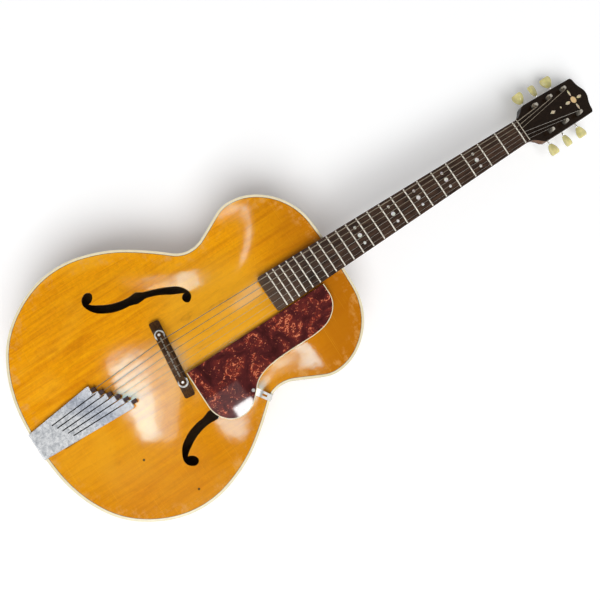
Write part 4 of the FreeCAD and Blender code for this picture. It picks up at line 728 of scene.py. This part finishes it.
class GUITAR_OT_tailpiece(bpy.types.Operator):
    """Give the tailpiece its mottled metal and the anchors their dark finish"""
    bl_idname = "guitar.tailpiece"
    bl_label = "Tailpiece"

    def execute(self, context):
        plastics = context.scene.guitar_plastics
        dress(self.tail_finish(context.scene.guitar_metals), "tailpiece")
        dress(plastic("anchor_dark", plastics.anchor, 0.45, 0.4), "tailpiece_anchors")
        return {"FINISHED"}

    def tail_finish(self, metals):
        """Mottled metal with darker fingers, and painted highlights pale towards their tips and bright where
        they roll over.
        """
        made = Finish("tail_metal", metals.tail_light, 0.42, 0.42)
        clouds = made.noise((190, 150, 190), detail=6, roughness=0.72, distortion=0.6)
        made.base(made.ramp(clouds, [(0.36, metals.tail_dark), (0.62, metals.tail_light)]))
        front = tail_front(made)
        made.paint(made.span(front, *FINGER_SHADE), metals.tail_shade, "MULTIPLY")
        # Painted highlights: pale tips and bright rolled edges
        made.paint(made.times(made.span(front, *FINGER_TIP_HIGHLIGHT), 0.35), WHITE)
        made.paint(made.times(made.span(made.facing("Y"), *ROLLED_EDGE_HIGHLIGHT), 0.9), WHITE)
        made.roughen(clouds, 0.50, 0.32)
        made.bump(made.noise((900, 900, 900), detail=3), 0.03 * MM)
        return made


class GUITAR_OT_pickguard(bpy.types.Operator):
    """Give the pickguard its mottled shell, with edging, bracket and post"""
    bl_idname = "guitar.pickguard"
    bl_label = "Pickguard"

    def execute(self, context):
        plastics = context.scene.guitar_plastics
        metals = context.scene.guitar_metals
        dress(self.shell_finish(plastics), "pickguard")
        dress(plastic("guard_edging", plastics.binding, 0.22), "pickguard_edging")
        dress(plated("bracket_nickel", metals.nickel, 0.25), "pickguard_bracket")
        dress(plastic("post_dark", plastics.guard_post, 0.4), "pickguard_post")
        return {"FINISHED"}

    def shell_finish(self, plastics):
        """Dark ground with clusters of curved red flecks and bright sparks under a hard gloss."""
        made = Finish("guard_shell", plastics.guard_dark, 0.3)
        clusters = made.noise((34, 34, 34), detail=3, roughness=0.6, distortion=1.5)
        curls = made.noise((96, 96, 96), detail=4, roughness=0.62, distortion=3.0)
        deep = scaled(plastics.guard_dark, 0.5)
        warm = between(plastics.guard_dark, plastics.guard_fleck, 0.25)
        made.base(made.ramp(clusters, [(0.30, deep), (0.48, plastics.guard_dark), (0.66, warm)]))
        lit = made.math("ADD", curls, made.times(made.math("SUBTRACT", clusters, 0.5), 0.75))
        made.paint(made.window(lit, 0.61, 0.66), plastics.guard_fleck)
        made.paint(made.window(lit, 0.68, 0.72), plastics.guard_bright)
        for turn in STROKE_TURNS:
            strokes = made.span(made.cells(GUARD_STROKES, "Distance", turn), 0.30, 0.20)
            made.paint(made.times(strokes, made.window(lit, 0.55, 0.61)), plastics.guard_bright)
        made.roughen(curls, 0.26, 0.36)
        return made.lacquer(0.04)


class GUITAR_OT_screws(bpy.types.Operator):
    """Plate the screws of tailpiece and pickguard"""
    bl_idname = "guitar.screws"
    bl_label = "Screws"

    def execute(self, context):
        dress(plated("screw_nickel", context.scene.guitar_metals.nickel, 0.3), "wood_screws")
        return {"FINISHED"}


class GUITAR_OT_stage(bpy.types.Operator):
    """Set up the white floor, the lamps, the sky and the camera"""
    bl_idname = "guitar.stage"
    bl_label = "Stage"

    def execute(self, context):
        stage = context.scene.guitar_stage
        self.floor(stage)
        self.sky(context.scene, stage)
        bright = stage.key * math.pi * KEY_PLACE.length ** 3 / (KEY_PLACE.z * KEY_SIDE ** 2)
        self.lamp("key_lamp", bright, (KEY_SIDE, KEY_SIDE), KEY_PLACE).visible_glossy = False
        for name, strength, sides, place, spin in SHINE_BOXES:
            box = self.lamp(name, strength * stage.shine, sides, place, spin)
            box.visible_diffuse = False
        self.camera(context.scene, stage)
        context.scene.view_settings.view_transform = "Standard"
        return {"FINISHED"}

    def seen(self, tree):
        """1 for rays that show the stage: from the camera, off gloss and through glass."""
        path = tree.nodes.new("ShaderNodeLightPath")
        total = path.outputs["Is Camera Ray"]
        for name in ("Is Glossy Ray", "Is Transmission Ray"):
            added = tree.nodes.new("ShaderNodeMath")
            added.operation = "MAXIMUM"
            tree.links.new(total, added.inputs[0])
            tree.links.new(path.outputs[name], added.inputs[1])
            total = added.outputs[0]
        return total

    def floor(self, stage):
        """White floor that keeps the guitar's shadow and glows to full white away from it."""
        work = bmesh.new()
        bmesh.ops.create_grid(work, x_segments=2, y_segments=2, size=FLOOR_REACH)
        mesh = bpy.data.meshes.new("floor")
        work.to_mesh(mesh)
        work.free()
        made = Finish("floor_white", stage.floor, 1.0)
        made.set(Specular_IOR_Level=0.0)
        tree = made.tree
        paper = made.node("BsdfDiffuse", Color=(*stage.paper, 1))
        near = made.node("MapRange", Value=made.spot((0, 0, 0), GLOW_REACH, GLOW_CORE), To_Min=1.0,
                         To_Max=stage.floor_glow)
        glow = made.node("Emission", Strength=near.outputs["Result"])
        white = tree.nodes.new("ShaderNodeAddShader")
        tree.links.new(paper.outputs[0], white.inputs[0])
        tree.links.new(glow.outputs[0], white.inputs[1])
        choice = tree.nodes.new("ShaderNodeMixShader")
        tree.links.new(self.seen(tree), choice.inputs["Fac"])
        tree.links.new(made.surface.outputs[0], choice.inputs[1])
        tree.links.new(white.outputs[0], choice.inputs[2])
        tree.links.new(choice.outputs[0], tree.nodes["Material Output"].inputs["Surface"])
        floor = bpy.data.objects.new("floor", mesh)
        bpy.context.scene.collection.objects.link(floor)
        mesh.materials.append(made.material)
        floor.location.z = -FLOOR_DROP

    def sky(self, scene, stage):
        """Even light, and a white room with a darker ceiling for the camera and for polished faces."""
        world = bpy.data.worlds.new("white_room")
        world.use_nodes = True
        tree = world.node_tree
        background = tree.nodes["Background"]
        background.inputs["Color"].default_value = (1, 1, 1, 1)
        height = tree.nodes.new("ShaderNodeSeparateXYZ")
        tree.links.new(tree.nodes.new("ShaderNodeTexCoord").outputs["Generated"], height.inputs[0])
        room = tree.nodes.new("ShaderNodeMapRange")
        tree.links.new(height.outputs["Z"], room.inputs["Value"])
        room.inputs["From Min"].default_value = CEILING_START
        room.inputs["From Max"].default_value = CEILING_FULL
        room.inputs["To Min"].default_value = 1.0
        room.inputs["To Max"].default_value = stage.zenith
        made = tree.nodes.new("ShaderNodeMapRange")
        tree.links.new(self.seen(tree), made.inputs["Value"])
        made.inputs["To Min"].default_value = stage.sky
        tree.links.new(room.outputs["Result"], made.inputs["To Max"])
        tree.links.new(made.outputs["Result"], background.inputs["Strength"])
        scene.world = world

    def lamp(self, name, brightness, sides, place, spin=0):
        """Rectangular box of an even brightness, turned to the body."""
        light = bpy.data.lights.new(name, "AREA")
        light.shape = "RECTANGLE"
        light.size, light.size_y = sides
        light.energy = brightness * math.pi * sides[0] * sides[1]
        lamp = bpy.data.objects.new(name, light)
        lamp.location = place
        lamp.visible_camera = False
        facing = Vector((0, 0, 1)).rotation_difference(Vector(place) - LAMP_AIM)
        lamp.rotation_euler = (facing @ Quaternion((0, 0, 1), math.radians(spin))).to_euler()
        bpy.context.scene.collection.objects.link(lamp)
        return lamp

    def camera(self, scene, stage):
        data = bpy.data.cameras.new("camera")
        data.sensor_width = SENSOR_WIDTH
        data.sensor_fit = "HORIZONTAL"
        data.lens = stage.lens
        camera = bpy.data.objects.new("camera", data)
        camera.location = stage.eye
        camera.rotation_euler = Euler(stage.turn)
        scene.collection.objects.link(camera)
        scene.camera = camera


class GUITAR_PT_finish(bpy.types.Panel):
    """Sidebar panel with the steps and their settings"""
    bl_idname = "GUITAR_PT_finish"
    bl_label = "Archtop Guitar"
    bl_space_type = "VIEW_3D"
    bl_region_type = "UI"
    bl_category = "Guitar"

    def draw(self, context):
        for step in STEPS:
            self.layout.operator(step.bl_idname)
        for name in GROUPS:
            box = self.layout.box()
            settings = getattr(context.scene, name)
            for prop in settings.bl_rna.properties:
                if prop.identifier not in ("rna_type", "name"):
                    box.prop(settings, prop.identifier)


GROUPS = {"guitar_woods": GuitarWoods, "guitar_plastics": GuitarPlastics, "guitar_metals": GuitarMetals,
          "guitar_stage": GuitarStage}
STEPS = (GUITAR_OT_stage, GUITAR_OT_body, GUITAR_OT_neck, GUITAR_OT_tuners, GUITAR_OT_strings,
         GUITAR_OT_bridge, GUITAR_OT_tailpiece, GUITAR_OT_pickguard, GUITAR_OT_screws)
CLASSES = (*GROUPS.values(), *STEPS, GUITAR_PT_finish)


def register():
    for item in CLASSES:
        bpy.utils.register_class(item)
    for name, group in GROUPS.items():
        setattr(bpy.types.Scene, name, PointerProperty(type=group))


def unregister():
    for name in GROUPS:
        delattr(bpy.types.Scene, name)
    for item in reversed(CLASSES):
        bpy.utils.unregister_class(item)


def main():
    register()
    for step in STEPS:
        area, name = step.bl_idname.split(".")
        getattr(getattr(bpy.ops, area), name)()


if __name__ == "__main__":
    main()
